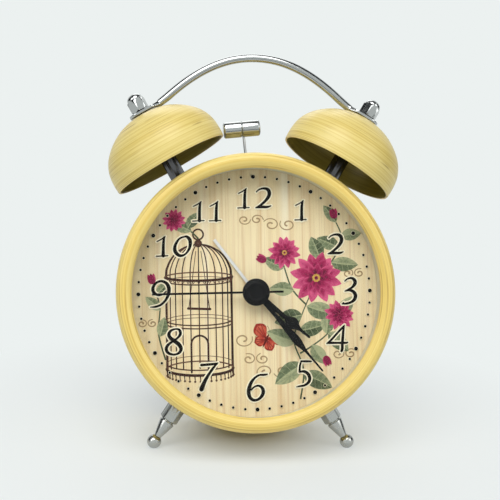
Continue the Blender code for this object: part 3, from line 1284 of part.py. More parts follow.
enamel = material("bamboo_print_enamel", "E6CF7B", 0.35)
cream_plastic = material("cream_plastic", "D9D2B4", 0.45)
clear_plastic = material("clear_acrylic", "F4F6F5", 0.05, transmission=0.95)
printed_card = material("printed_card", "E6D3A3", 0.6)
chrome = material("chrome_plate", "D8DADC", 0.12, metallic=1.0)
steel = material("zinc_plated_steel", "A9ABAD", 0.35, metallic=1.0)
brass = material("brass", "C9A24B", 0.3, metallic=1.0)
copper = material("enamelled_copper_wire", "A8562B", 0.35, metallic=0.8)
white_paint = material("white_paint", "F0F0EC", 0.5)
black_paint = material("black_paint", "141414", 0.4)
grey_plastic = material("grey_plastic", "8F9290", 0.5)
dark_plastic = material("black_plastic", "1D1D1E", 0.5)
red_plastic = material("red_plastic", "A12A22", 0.45)
green_board = material("circuit_board", "2E5E3A", 0.4)
battery_label = material("battery_label", "3C4A66", 0.4)

make_case()
make_bezel()
make_lens()
make_reflector()
make_dial()
make_hands()
make_movement_housing()
make_train()
make_motor_parts()
make_hammer()
make_cover()
make_battery()
make_door()
make_knobs()
make_switch()
make_cover_screws()
for clock_side, side_name in ((-1, "left"), (1, "right")):
    make_bell(clock_side, side_name)
    make_post(clock_side, side_name)
    make_bell_screw(clock_side, side_name)
    make_acorn_nut(clock_side, side_name)
    make_leg(clock_side, side_name)
    make_leg_nut(clock_side, side_name)
make_handle()
stand_up()
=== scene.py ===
"""Looks of a twin bell alarm clock with a bamboo-print case, on a pale table in soft light.

Pieces are drawn in millimetres in the clock's own upright frame: X right, Y back and Z up from the middle
of the dial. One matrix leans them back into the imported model's frame. Turned pieces are drawn round their
own axis and then placed in that upright frame.
"""

import json
from math import asin, cos, hypot, pi, radians, sin, sqrt
from random import Random

import bmesh
import bpy
from mathutils import Matrix, Vector


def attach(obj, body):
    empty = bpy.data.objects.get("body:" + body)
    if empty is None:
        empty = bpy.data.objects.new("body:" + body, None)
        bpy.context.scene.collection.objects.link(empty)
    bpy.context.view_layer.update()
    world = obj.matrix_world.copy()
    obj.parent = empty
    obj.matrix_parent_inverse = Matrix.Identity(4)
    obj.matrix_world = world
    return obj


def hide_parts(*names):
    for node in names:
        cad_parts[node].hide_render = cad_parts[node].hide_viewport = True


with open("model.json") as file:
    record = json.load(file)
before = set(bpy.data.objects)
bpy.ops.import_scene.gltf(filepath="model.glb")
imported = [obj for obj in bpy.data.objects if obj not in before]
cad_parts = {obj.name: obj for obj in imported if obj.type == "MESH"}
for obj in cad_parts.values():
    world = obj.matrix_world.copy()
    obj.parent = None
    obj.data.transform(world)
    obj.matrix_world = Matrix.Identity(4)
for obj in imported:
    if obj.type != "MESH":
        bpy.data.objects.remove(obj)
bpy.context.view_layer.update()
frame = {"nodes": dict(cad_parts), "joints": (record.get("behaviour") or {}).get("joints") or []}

MM = 0.001
JOINTS = {joint["name"]: joint for joint in frame["joints"]}

# The upright frame, from the axis that the hands turn on: its line is the middle of the dial
SECOND_HAND_Y = 5.7
BACK = Vector(JOINTS["second_spin"]["axis"]).normalized()
RIGHT = Vector((1, 0, 0))
UP = RIGHT.cross(BACK)
CLOCK = Matrix.Translation(Vector(JOINTS["second_spin"]["pos_m"]) - BACK * SECOND_HAND_Y * MM)
CLOCK = CLOCK @ Matrix((RIGHT, BACK, UP)).transposed().to_4x4()
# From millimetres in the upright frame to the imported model's metres
DRAWN = CLOCK @ Matrix.Scale(MM, 4)


# Placing, in millimetres


def shift(x, y, z):
    return Matrix.Translation((x, y, z))


def facing_back(x, y, z, turn=0.0):
    """Local Z to the back; a positive turn is clockwise seen from the front."""
    return shift(x, y, z) @ Matrix.Rotation(-pi / 2, 4, "X") @ Matrix.Rotation(turn, 4, "Z")


def facing_out(side, plane_y, tilt, x=0.0, z=0.0):
    """Local Z up and outward by tilt, to the right where side is 1."""
    return shift(x, plane_y, z) @ Matrix.Rotation(side * tilt, 4, "Y")


# Materials


def linear(hex_colour):
    """An sRGB hex colour as linear red, green, blue and alpha."""
    channels = [int(hex_colour[i : i + 2], 16) / 255 for i in (0, 2, 4)]
    return [c / 12.92 if c <= 0.04045 else ((c + 0.055) / 1.055) ** 2.4 for c in channels] + [1.0]


def add(tree, kind, inputs=None, stops=(), **settings):
    """Adds a node with its settings and a ramp's stops. An input takes a value, a hex colour, or what it is
    linked from: a socket, or a node for that node's first output."""
    made = tree.nodes.new("ShaderNode" + kind)
    for name, value in settings.items():
        setattr(made, name, value)
    for name, value in (inputs or {}).items():
        if isinstance(value, bpy.types.Node):
            value = value.outputs[0]
        if isinstance(value, bpy.types.NodeSocket):
            tree.links.new(value, made.inputs[name])
        else:
            made.inputs[name].default_value = linear(value) if isinstance(value, str) else value
    for i, (position, colour) in enumerate(stops):
        # A new ramp has two stops, which become the first two
        elements = made.color_ramp.elements
        element = elements[i] if i < 2 else elements.new(position)
        element.position = position
        element.color = linear(colour) if isinstance(colour, str) else [colour] * 3 + [1.0]
    return made


def bare(name):
    """A new material with no nodes yet."""
    made = bpy.data.materials.new(name)
    made.use_nodes = True
    made.node_tree.nodes.clear()
    return made, made.node_tree


def coated(made, values):
    """Finishes a material with its Principled shader, which takes the values and patterns."""
    shader = add(made.node_tree, "BsdfPrincipled", values)
    add(made.node_tree, "OutputMaterial", {"Surface": shader})
    return made


def along_grain(tree, sizes):
    """The coordinates that each drawn piece carries along its own grain, for marks of these sizes in
    millimetres. On a turned or swept piece the first two go round it, with its radius as their unit."""
    carried = add(tree, "Attribute", attribute_name="grain").outputs["Vector"]
    return add(tree, "Mapping", {"Vector": carried, "Scale": [1 / size for size in sizes]})


def on_solid(tree, sizes):
    """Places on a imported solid, whose own units are metres, for marks of these sizes in millimetres."""
    found = add(tree, "TexCoord")
    wanted = [1 / (size * MM) for size in sizes]
    return add(tree, "Mapping", {"Vector": found.outputs["Object"], "Scale": wanted})


# Nearly all of a noise's values lie in this span
NOISE_SPAN = {"From Min": 0.3, "From Max": 0.7}


def bamboo_enamel(name, light, middle, deep, vein_tone):
    """Steel with a baked bamboo print under clear lacquer: the eye sees fine grain lines of close golden
    tones round the piece, a few thin brown veins, and a soft broad highlight."""
    made, tree = bare(name)
    # Round the piece the pattern hardly changes; across it the bands are 2.8 mm and the lines 0.4 mm
    bands = add(tree, "TexNoise", {"Vector": along_grain(tree, (7.1, 7.1, 2.8)), "Scale": 1.0,
                                   "Detail": 2.0, "Roughness": 0.5})
    lines = add(tree, "TexNoise", {"Vector": along_grain(tree, (3.3, 3.3, 0.385)), "Scale": 1.0,
                                   "Detail": 4.0, "Roughness": 0.65})
    tone = add(tree, "Math", {0: bands, 1: 0.6, 2: lines}, operation="MULTIPLY_ADD")
    tone = add(tree, "MapRange", {"Value": tone, "From Min": 0.58, "From Max": 1.02})
    colour = add(tree, "ValToRGB", {"Fac": tone}, [(0.0, deep), (0.5, middle), (1.0, light)])
    # Veins: where a slow noise crosses its middle, in some places only
    vein = add(tree, "TexNoise", {"Vector": along_grain(tree, (20.0, 20.0, 1.8)), "Scale": 1.0,
                                  "Detail": 1.0, "Roughness": 0.45})
    vein = add(tree, "ValToRGB", {"Fac": vein}, [(0.488, 0.0), (0.5, 1.0), (0.512, 0.0)])
    where = add(tree, "TexNoise", {"Vector": along_grain(tree, (0.55, 0.55, 10.0)), "Scale": 1.0,
                                   "Detail": 1.0})
    where = add(tree, "ValToRGB", {"Fac": where}, [(0.44, 0.0), (0.60, 0.8)])
    vein = add(tree, "Math", {0: vein, 1: where}, operation="MULTIPLY")
    colour = add(tree, "Mix", {0: vein, 6: colour, 7: vein_tone}, data_type="RGBA").outputs[2]
    rough = add(tree, "MapRange", {"Value": lines, **NOISE_SPAN, "To Min": 0.36, "To Max": 0.46})
    relief = add(tree, "Bump", {"Height": lines, "Distance": 0.03 * MM, "Strength": 0.25})
    return coated(made, {"Base Color": colour, "Roughness": rough, "Normal": relief,
                         "Specular IOR Level": 0.35, "Coat Weight": 0.12, "Coat Roughness": 0.25})


def plated(name, colour, low, high):
    """Plated or bare metal: it mirrors the room, a little blurred and uneven from its polishing."""
    made, tree = bare(name)
    # Polished as it turns: even round the piece, uneven over 2.5 mm along it
    cloud = add(tree, "TexNoise", {"Vector": along_grain(tree, (2.5, 2.5, 2.5)), "Scale": 1.0,
                                   "Detail": 4.0, "Roughness": 0.6})
    rough = add(tree, "MapRange", {"Value": cloud, **NOISE_SPAN, "To Min": low, "To Max": high})
    relief = add(tree, "Bump", {"Height": cloud, "Distance": 0.004 * MM, "Strength": 0.3})
    return coated(made, {"Base Color": colour, "Metallic": 1.0, "Roughness": rough, "Normal": relief})


def tarnished(name, dark, light, low, high, cloud_sizes=(3.3, 3.3, 3.3)):
    """Metal of the works inside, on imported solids: faint tarnish clouds and a brushed or rolled gloss."""
    made, tree = bare(name)
    cloud = add(tree, "TexNoise", {"Vector": on_solid(tree, cloud_sizes), "Scale": 1.0, "Detail": 5.0,
                                   "Roughness": 0.6})
    colour = add(tree, "ValToRGB", {"Fac": cloud}, [(0.3, dark), (0.7, light)])
    rough = add(tree, "MapRange", {"Value": cloud, **NOISE_SPAN, "To Min": low, "To Max": high})
    return coated(made, {"Base Color": colour, "Metallic": 1.0, "Roughness": rough})


def moulded(name, dark, light, rough, depth, place=on_solid, grit=0.33):
    """Moulded plastic: one colour with faint flow marks, and the tool's fine spark-eroded grit."""
    made, tree = bare(name)
    flow = add(tree, "TexNoise", {"Vector": place(tree, (6.7, 6.7, 6.7)), "Scale": 1.0, "Detail": 2.0})
    colour = add(tree, "ValToRGB", {"Fac": flow}, [(0.35, dark), (0.65, light)])
    # The real grit is finer than the picture can show, so it is drawn coarser
    speck = add(tree, "TexNoise", {"Vector": place(tree, (grit, grit, grit)), "Scale": 1.0, "Detail": 2.0,
                                   "Roughness": 0.6})
    gloss = add(tree, "MapRange", {"Value": speck, **NOISE_SPAN, "To Min": rough - 0.05,
                                   "To Max": rough + 0.05})
    relief = add(tree, "Bump", {"Height": speck, "Distance": depth * MM, "Strength": 0.6})
    return coated(made, {"Base Color": colour, "Roughness": gloss, "Normal": relief, "IOR": 1.53})


def sprayed(name, dark, light, rough, place=along_grain, shine=0.3):
    """Sprayed paint or printing ink: an even coat with a slight orange peel."""
    made, tree = bare(name)
    peel = add(tree, "TexNoise", {"Vector": place(tree, (0.83, 0.83, 0.83)), "Scale": 1.0, "Detail": 2.0})
    colour = add(tree, "ValToRGB", {"Fac": peel}, [(0.3, dark), (0.7, light)])
    gloss = add(tree, "MapRange", {"Value": peel, **NOISE_SPAN, "To Min": rough - 0.04,
                                   "To Max": rough + 0.04})
    return coated(made, {"Base Color": colour, "Roughness": gloss, "Specular IOR Level": shine})


def acrylic_lens():
    """Clear cast acrylic: nearly invisible, with a faint gloss and a few polishing hazes."""
    made, tree = bare("clear_acrylic")
    haze = add(tree, "TexNoise", {"Vector": along_grain(tree, (12.5, 12.5, 12.5)), "Scale": 1.0,
                                  "Detail": 2.0})
    gloss = add(tree, "MapRange", {"Value": haze, **NOISE_SPAN, "To Min": 0.03, "To Max": 0.07})
    return coated(made, {"Base Color": "C9CECC", "Roughness": gloss, "IOR": 1.49, "Alpha": 0.006})


def bamboo_dial():
    """Printed bamboo sheet: upright streaks of straw, cream and rose-brown, greyer toward the upper left."""
    made, tree = bare("printed_bamboo_dial")
    # Broad streaks of 6 mm, fine ones of 1.3 mm and hairs of 0.4 mm, which run much of the dial's height
    broad = add(tree, "TexNoise", {"Vector": along_grain(tree, (6.25, 1.0, 167.0)), "Scale": 1.0,
                                   "Detail": 2.0})
    fine = add(tree, "TexNoise", {"Vector": along_grain(tree, (1.33, 1.0, 83.0)), "Scale": 1.0,
                                  "Detail": 3.0, "Roughness": 0.6})
    hair = add(tree, "TexNoise", {"Vector": along_grain(tree, (0.385, 1.0, 33.0)), "Scale": 1.0,
                                  "Detail": 2.0})
    colour = add(tree, "ValToRGB", {"Fac": broad}, [(0.30, "E5CF9E"), (0.46, "F1E1B7"), (0.56, "EBD8AA"),
                                                    (0.72, "F6ECCD")])
    streak = add(tree, "ValToRGB", {"Fac": fine}, [(0.50, 0.0), (0.72, 0.75)])
    colour = add(tree, "Mix", {0: streak, 6: colour, 7: "D9B88A"}, data_type="RGBA").outputs[2]
    line = add(tree, "ValToRGB", {"Fac": hair}, [(0.55, 0.0), (0.75, 0.45)])
    colour = add(tree, "Mix", {0: line, 6: colour, 7: "C9A77A"}, data_type="RGBA").outputs[2]
    # A grey-brown cast in blotches, which grows with the distance from a place at the lower right
    away = add(tree, "VectorMath", {0: along_grain(tree, (1.0, 1.0, 1.0)), 1: (14.0, 0.0, -18.0)},
               operation="DISTANCE").outputs["Value"]
    edge = add(tree, "MapRange", {"Value": away, "From Min": 36.0, "From Max": 64.0, "To Min": 0.0,
                                  "To Max": 0.5})
    blotch = add(tree, "TexNoise", {"Vector": along_grain(tree, (8.3, 1.0, 8.3)), "Scale": 1.0,
                                    "Detail": 4.0, "Roughness": 0.6})
    edge = add(tree, "Math", {0: edge, 1: blotch}, operation="MULTIPLY")
    colour = add(tree, "Mix", {0: edge, 6: colour, 7: "9A8B66"}, data_type="RGBA").outputs[2]
    relief = add(tree, "Bump", {"Height": fine, "Distance": 0.01 * MM, "Strength": 0.3})
    return coated(made, {"Base Color": colour, "Roughness": 0.6, "Specular IOR Level": 0.25,
                         "Normal": relief})


def screen_print(name, dark, middle, light, mottling=0.55):
    """Ink of the dial's picture: tones that run from a deep heart to a lighter edge, with soft mottling."""
    made, tree = bare(name)
    carried = add(tree, "Attribute", attribute_name="shade")
    mottle = add(tree, "TexNoise", {"Vector": along_grain(tree, (1.1, 1.0, 1.1)), "Scale": 1.0,
                                    "Detail": 3.0, "Roughness": 0.6})
    tone = add(tree, "Math", {0: mottle, 1: -0.5}, operation="ADD")
    tone = add(tree, "Math", {0: tone, 1: mottling, 2: carried.outputs["Fac"]}, operation="MULTIPLY_ADD")
    colour = add(tree, "ValToRGB", {"Fac": tone}, [(0.05, dark), (0.5, middle), (0.95, light)])
    return coated(made, {"Base Color": colour, "Roughness": 0.6, "Specular IOR Level": 0.2})


enamel = bamboo_enamel("bamboo_print_enamel", "F4E092", "EDD37B", "E1C162", "BE9848")
bell_enamel = bamboo_enamel("bell_print_enamel", "EBD98F", "E0CA79", "D0B55B", "8F6A28")
# The bells' insides: the outside's print in darker tones, which is painted shade of the hollow
shaded_bell_inside = bamboo_enamel("bell_inside_enamel_painted_shade", "A0944A", "918539", "7A6E29", "5F531C")
chrome = plated("chrome_plate", "B0B2B1", 0.11, 0.20)
satin = plated("satin_chrome_plate", "B4B5B1", 0.20, 0.30)
# Chrome in a dark tone for the posts: painted shade where they stand under and inside the bells
shaded_post_chrome = plated("post_chrome_painted_shade", "5C5C5E", 0.18, 0.26)
zinc = plated("zinc_plated_steel_drawn", "A9ABAD", 0.25, 0.4)
red = moulded("red_abs", "992720", "A93028", 0.42, 0.03, along_grain)
steel = tarnished("zinc_plated_steel", "9FA1A3", "B7B9BB", 0.28, 0.42)
brass = tarnished("stamped_brass", "B98F3E", "D0AB55", 0.25, 0.4)
copper = tarnished("enamelled_copper_wire", "8F4520", "BC6636", 0.3, 0.45, (0.17, 5.0, 5.0))
cream = moulded("cream_acetal", "D3CCAE", "DDD6BA", 0.45, 0.01)
grey = moulded("grey_abs", "878A88", "969997", 0.5, 0.02)
black = moulded("black_abs", "1A1A1B", "222224", 0.48, 0.05)
black_drawn = moulded("black_abs_drawn", "1A1A1B", "222224", 0.45, 0.04, along_grain)
green = moulded("solder_mask", "285537", "346640", 0.35, 0.01, grit=0.5)
sleeve = sprayed("cell_sleeve", "37455F", "41506C", 0.35, on_solid)
rim_cream = moulded("reflector_cream", "C6C1A8", "D2CDB6", 0.42, 0.01, along_grain)
black_paint = sprayed("black_hand_paint", "0A0A0B", "111112", 0.36, shine=0.12)
black_ink = sprayed("black_numeral_ink", "0C0A08", "14110C", 0.6, shine=0.1)
cream_ink = sprayed("cream_outline_ink", "F5ECCB", "FBF4DA", 0.6, shine=0.1)
lens_clear = acrylic_lens()
dial_print = bamboo_dial()
print_brown = screen_print("print_brown", "33201A", "523427", "7A5A48")
print_green = screen_print("print_green", "3F4A33", "6E7B5A", "A9AE86")
print_magenta = screen_print("print_magenta", "5E1230", "A12352", "D65D86")
print_heart = screen_print("print_heart", "6B3A1C", "B98434", "E3C065")
print_red = screen_print("print_red", "5C1A14", "B23A2A", "DE7A5A")
print_faint = screen_print("print_faint", "8C7350", "A68C66", "BCA37C")
red_packed = moulded("red_abs_packed", "992720", "A93028", 0.42, 0.03)
white_packed = sprayed("white_hand_paint_packed", "D2D3D1", "DDDEDC", 0.45, on_solid)
black_packed = sprayed("black_hand_paint_packed", "0A0A0B", "111112", 0.36, on_solid, 0.12)


# Drawing

# Folds sharper than this stay sharp
SHARP_FOLD = radians(32)


def finish_piece(name, points, faces, place, material, body, replaced=(), grain=None, shade=None):
    """A piece from points in millimetres, smooth but for sharp folds, carrying its grain, on its body."""
    mesh = bpy.data.meshes.new(name)
    world = DRAWN @ place
    mesh.from_pydata([world @ Vector(point) for point in points], [], faces)
    carried = mesh.attributes.new("grain", "FLOAT_VECTOR", "POINT")
    carried.data.foreach_set("vector", [value for point in (grain or points) for value in point])
    if shade:
        mesh.attributes.new("shade", "FLOAT", "POINT").data.foreach_set("value", shade)
    mesh.validate()
    work = bmesh.new()
    work.from_mesh(mesh)
    bmesh.ops.recalc_face_normals(work, faces=work.faces)
    work.to_mesh(mesh)
    work.free()
    mesh.shade_smooth()
    mesh.set_sharp_from_angle(angle=SHARP_FOLD)
    for each in material if isinstance(material, tuple) else (material,):
        mesh.materials.append(each)
    piece = bpy.data.objects.new(name, mesh)
    bpy.context.scene.collection.objects.link(piece)
    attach(piece, body)
    if replaced:
        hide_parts(*replaced)
    return piece


def from_place(x, y, reach, angle):
    """The place that lies a reach away from another, at an angle from the first axis."""
    return x + reach * cos(angle), y + reach * sin(angle)


def arc(x, y, radius, start, end, count):
    """Points of an arc, in degrees from the first axis."""
    steps = [radians(start + (end - start) * i / count) for i in range(count + 1)]
    return [from_place(x, y, radius, angle) for angle in steps]


def smooth_line(points, count, closed=False):
    """A curve through points of any length of coordinates, count steps between each pair."""
    found = []
    total = len(points)
    for i in range(total if closed else total - 1):
        if closed:
            a, b, c, d = (points[(i + k) % total] for k in (-1, 0, 1, 2))
        else:
            a, b, c, d = (points[min(max(i + k, 0), total - 1)] for k in (-1, 0, 1, 2))
        for step in range(count):
            t = step / count
            weights = (
                (-t + 2 * t * t - t**3) / 2, (2 - 5 * t * t + 3 * t**3) / 2,
                (t + 4 * t * t - 3 * t**3) / 2, (-t * t + t**3) / 2,
            )
            rows = zip(a, b, c, d)
            found.append(tuple(sum(w * v for w, v in zip(weights, row)) for row in rows))
    return found if closed else found + [tuple(points[-1])]


def softened(profile, radius, closed=False, count=4):
    """A profile whose corners are rounded off by about a radius, where its sides leave room."""
    found = []
    total = len(profile)
    for i, corner in enumerate(profile):
        if not closed and i in (0, total - 1):
            found.append(corner)
            continue
        before, after = profile[i - 1], profile[(i + 1) % total]
        sides = []
        for end in (before, after):
            across, up = end[0] - corner[0], end[1] - corner[1]
            run = hypot(across, up)
            reach = min(radius, run * 0.45) / run
            sides.append((corner[0] + across * reach, corner[1] + up * reach))
        (ax, ay), (bx, by) = sides
        for step in range(count + 1):
            t = step / count
            u, v, w = (1 - t) ** 2, 2 * t * (1 - t), t * t
            found.append((u * ax + v * corner[0] + w * bx, u * ay + v * corner[1] + w * by))
    return found


def lathe(name, profile, place, material, body, replaced=(), facets=192, closed=False,
          limit=None, inside=None):
    """A profile of radius and height turned round local Z. A limit gives the largest radius at an angle,
    for flats or ribs. From face row inside on, it takes the second of two materials. Its grain is a place
    on the unit circle, then the distance along the profile."""
    points, grain, rows = [], [], []
    travelled = 0.0
    for i, (radius, height) in enumerate(profile):
        if i:
            travelled += hypot(radius - profile[i - 1][0], height - profile[i - 1][1])
        row = []
        for k in range(1 if radius < 1e-6 else facets):
            angle = 2 * pi * k / facets
            reach = min(radius, limit(angle)) if limit else radius
            row.append(len(points))
            points.append((reach * cos(angle), reach * sin(angle), height))
            grain.append((cos(angle), sin(angle), travelled))
        rows.append(row)
    faces, coat = [], []
    pairs = list(zip(rows, rows[1:])) + ([(rows[-1], rows[0])] if closed else [])
    for number, (low, high) in enumerate(pairs):
        for k in range(facets):
            n = (k + 1) % facets
            ring = [low[k % len(low)], low[n % len(low)], high[n % len(high)], high[k % len(high)]]
            faces.append([p for j, p in enumerate(ring) if p != ring[j - 1]])
            coat.append(int(inside is not None and number >= inside))
    piece = finish_piece(name, points, faces, place, material, body, replaced, grain)
    if inside is not None:
        piece.data.polygons.foreach_set("material_index", coat)
    return piece


def between_rings(order, count):
    """The faces between closed rings of count points each, from ring to ring in an order."""
    faces = []
    for low, high in zip(order, order[1:]):
        for k in range(count):
            n = (k + 1) % count
            faces.append([low * count + k, low * count + n, high * count + n, high * count + k])
    return faces


def hexagon(flats, turn=0.0):
    """The radius at each angle of a hexagon, from its size across flats, with a corner at its turn."""
    return lambda angle: flats / 2 / cos(((angle - turn) % (pi / 3)) - pi / 6)


def corner_radius(flats):
    """The radius to a hexagon's corners, from its size across flats."""
    return flats / 2 / cos(pi / 6)


def sweep(name, path, sections, material, body, replaced=(), sides=24):
    """A section swept along a path that turns in the XZ plane: at each point half its thickness, half its
    width, and how square it is, from 0, an ellipse, to 1. Its grain runs along."""
    points, grain = [], []
    travelled = 0.0
    for i, (x, y, z) in enumerate(path):
        before, after = path[max(i - 1, 0)], path[min(i + 1, len(path) - 1)]
        along = Vector(after) - Vector(before)
        along.normalize()
        normal = Vector((-along.z, 0, along.x))
        if i:
            travelled += (Vector(path[i]) - Vector(path[i - 1])).length
        thick, wide, square = sections[i]
        for k in range(sides):
            angle = 2 * pi * k / sides
            c, s = cos(angle), sin(angle)
            power = 2 / (2 + 6 * square)
            up = thick * (abs(c) ** power) * (1 if c >= 0 else -1)
            out = wide * (abs(s) ** power) * (1 if s >= 0 else -1)
            point = Vector((x, y, z)) + normal * up + Vector((0, 1, 0)) * out
            points.append(tuple(point))
            grain.append((c, s, travelled))
    faces = between_rings(range(len(path)), sides)
    faces += [list(range(sides)), list(range(len(points) - sides, len(points)))]
    return finish_piece(name, points, faces, Matrix(), material, body, replaced, grain)


def flat_grain(points):
    """The grain of what lies flat on the dial: right, back and up."""
    return [(x, z, -y) for x, y, z in points]


def sheet(name, outline, middle, thickness, place, material, body, replaced=()):
    """A flat piece in local XY, with its front at local 0 and its back at its thickness. Each face runs
    from its middle to an edge."""
    count = len(outline)
    points = [(x, y, 0.0) for x, y in outline] + [(x, y, thickness) for x, y in outline]
    points += [(*middle, 0.0), (*middle, thickness)]
    faces = []
    for k in range(count):
        n = (k + 1) % count
        faces += [[k, n, 2 * count], [count + n, count + k, 2 * count + 1], [n, k, count + k, count + n]]
    return finish_piece(name, points, faces, place, material, body, replaced, flat_grain(points))


def cut_box(piece, place):
    """Cuts a unit cube, placed in the world by a matrix, out of a piece."""
    cutter = bmesh.new()
    bmesh.ops.create_cube(cutter, size=1.0, matrix=place)
    bmesh.ops.recalc_face_normals(cutter, faces=cutter.faces)
    mesh = bpy.data.meshes.new("cutter")
    cutter.to_mesh(mesh)
    cutter.free()
    tool = bpy.data.objects.new("cutter", mesh)
    bpy.context.scene.collection.objects.link(tool)
    change = piece.modifiers.new("cut", "BOOLEAN")
    change.operation, change.solver, change.object = "DIFFERENCE", "EXACT", tool
    bpy.context.view_layer.update()
    found = bpy.context.evaluated_depsgraph_get()
    made = bpy.data.meshes.new_from_object(piece.evaluated_get(found))
    piece.modifiers.remove(change)
    kept = piece.data
    piece.data = made
    made.set_sharp_from_angle(angle=SHARP_FOLD)
    bpy.data.meshes.remove(kept)
    bpy.data.objects.remove(tool)


def rest_on_table(piece):
    """Presses what would dip below the table up to it, the small flat that the piece stands on."""
    for vertex in piece.data.vertices:
        vertex.co.z = max(vertex.co.z, 0.0)


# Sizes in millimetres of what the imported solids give
CASE_RADIUS, CASE_INSIDE = 41.6, 41.0
CASE_FRONT, CASE_BACK = 6.2, 44.0
# Of the seat that holds the lens, the ring and the dial
SEAT_RADIUS = 40.7
# The right bell's mouth in right, back and up from the middle of the dial; the left one mirrors it
BELL_MOUTH = (26.2, 15.0, 40.05)
BELL_TILT = radians(30.2)
BELL_RADIUS, BELL_HEIGHT, BELL_WALL, BELL_HOLE = 18.94, 18.0, 0.8, 1.75
POST_FLATS, NUT_FLATS, COLLAR_FLATS = 4.3, 5.3, 5.1
HANDLE_TOP, ROD_RADIUS = 74.8, 1.3
# The feet lean out by an angle, and their balls' middles lie this far from the clock's axis
LEG_ANGLE, LEG_Y, LEG_BALL = radians(33.2), 17.5, 55.55
BALL_RADIUS, NECK_RADIUS = 2.2, 1.1
# How far off the case the posts and the feet stand
CASE_GAP = 0.3
# The box that is cut out of the case's top, for the hammer's wire to swing in
HAMMER_SLOT = (6.2, 2.0, 6.0)
SIDES = ((-1, "left"), (1, "right"))


# Case and front

ON_AXIS = facing_back(0, 0, 0)


def make_case():
    """A drawn steel drum with a rolled rear edge, under a spun bezel."""
    back = CASE_BACK - 0.07
    outer = [(CASE_RADIUS, CASE_FRONT), (CASE_RADIUS, back - 1.2)]
    outer += arc(CASE_RADIUS - 1.2, back - 1.2, 1.2, 0, 90, 10)[1:]
    inner = [(40.2, back), (40.2, back - 0.6), (CASE_INSIDE, back - 1.0)]
    inner += [(CASE_INSIDE, CASE_FRONT)]
    drum = lathe("case_shell", outer + inner, ON_AXIS, enamel, "case",
                 ("case_drum",), closed=True)
    slot = shift(0.0, BELL_MOUTH[1], CASE_RADIUS - 1.0)
    cut_box(drum, DRAWN @ slot @ Matrix.Diagonal((*HAMMER_SLOT, 1.0)))
    rest_on_table(drum)

    # The bezel's rounded front, as shares of its width and depth
    crown = [
        (0.0, 0.42), (0.06, 0.28), (0.18, 0.13), (0.34, 0.03), (0.5, 0.0),
        (0.66, 0.05), (0.8, 0.18), (0.91, 0.40), (0.98, 0.68), (1.0, 1.0),
    ]
    crown = [(38.0 + 4.8 * across, 0.03 + 3.47 * deep) for across, deep in crown]
    profile = [(38.0, 2.6)] + smooth_line(crown, 6) + [(42.8, 9.2)]
    profile += [(42.7, 9.45), (42.5, 9.5), (42.0, 9.5), (41.9, 9.3), (41.9, 2.8), (38.2, 2.8)]
    lathe("bezel_ring", profile, ON_AXIS, enamel, "case", ("front_bezel",),
          facets=256, closed=True)

    disc = softened([(0, 3.0), (SEAT_RADIUS, 3.0), (SEAT_RADIUS, 4.2), (0, 4.2)], 0.15)
    lathe("lens_disc", disc, ON_AXIS, lens_clear, "case", ("lens",))

    ring = softened([(SEAT_RADIUS, 4.5), (SEAT_RADIUS, 8.6), (38.3, 8.6), (38.3, 4.5)], 0.12, closed=True)
    lathe("reflector", ring, ON_AXIS, rim_cream, "case", ("reflector_ring",),
          closed=True)


def make_bells():
    """Spun steel bells on hex posts, held by acorn nuts over the handle's flattened ends."""
    # The wall outside, as shares of the bell's radius and height
    shares = [
        (0.0, 1.0), (0.16, 0.998), (0.34, 0.965), (0.52, 0.895), (0.70, 0.775), (0.85, 0.625),
        (0.94, 0.475), (0.985, 0.33), (1.0, 0.17), (0.995, 0.02),
    ]
    outer = smooth_line([(BELL_RADIUS * out, BELL_HEIGHT * up) for out, up in shares], 6)
    outer = [(radius, height) for radius, height in outer if radius > BELL_HOLE]
    inner = []
    for i, (radius, height) in enumerate(outer):
        before, after = outer[max(i - 1, 0)], outer[min(i + 1, len(outer) - 1)]
        run = Vector((after[0] - before[0], after[1] - before[1])).normalized()
        inner.append((radius + run.y * BELL_WALL, height - run.x * BELL_WALL))
    rim = [(outer[-1][0] - 0.12, 0.0), (inner[-1][0] + 0.12, 0.0)]
    profile = outer + rim + inner[::-1]
    for side, name in SIDES:
        place = facing_out(side, BELL_MOUTH[1], BELL_TILT, side * BELL_MOUTH[0], BELL_MOUTH[2])
        lathe(f"bell_shell_{name}", profile, place, (bell_enamel, shaded_bell_inside), "case",
              (f"bell_{name}",), closed=True, inside=len(outer) + 1)
        make_post(name, place)


def make_post(name, place):
    """A bell's hex post with its stud, and the acorn nut on the stud; heights are from the bell's mouth."""
    along = BELL_MOUTH[0] * sin(BELL_TILT) + BELL_MOUTH[2] * cos(BELL_TILT)
    low, top = CASE_RADIUS + CASE_GAP - along, BELL_HEIGHT - BELL_WALL - 0.3
    corner = corner_radius(POST_FLATS)
    profile = [(0, low), (corner - 0.45, low), (corner, low + 0.3)]
    profile += [(corner, top - 0.3), (corner - 0.45, top), (1.4, top), (1.4, BELL_HEIGHT + 4.6)]
    profile += [(1.2, BELL_HEIGHT + 4.7), (0, BELL_HEIGHT + 4.7)]
    lathe(f"post_{name}", profile, place, shaded_post_chrome, "case", (f"bell_post_{name}",),
          facets=96, limit=hexagon(POST_FLATS))
    base = BELL_HEIGHT + 1.6
    corner = corner_radius(NUT_FLATS)
    dome = NUT_FLATS * 0.94 / 2
    nut = [(1.7, base), (corner - 0.35, base), (corner, base + 0.25), (corner, base + 3.3)]
    nut += [(dome + 0.2, base + 3.75)]
    nut += [(dome * out, base + 3.9 + 1.8 * (up - base)) for out, up in arc(0, base, 1.0, 0, 90, 12)]
    nut[-1] = (0, base + 5.7)
    lathe(f"acorn_{name}", nut, place, chrome, "case", (f"acorn_nut_{name}",),
          facets=96, limit=hexagon(NUT_FLATS, radians(15)))


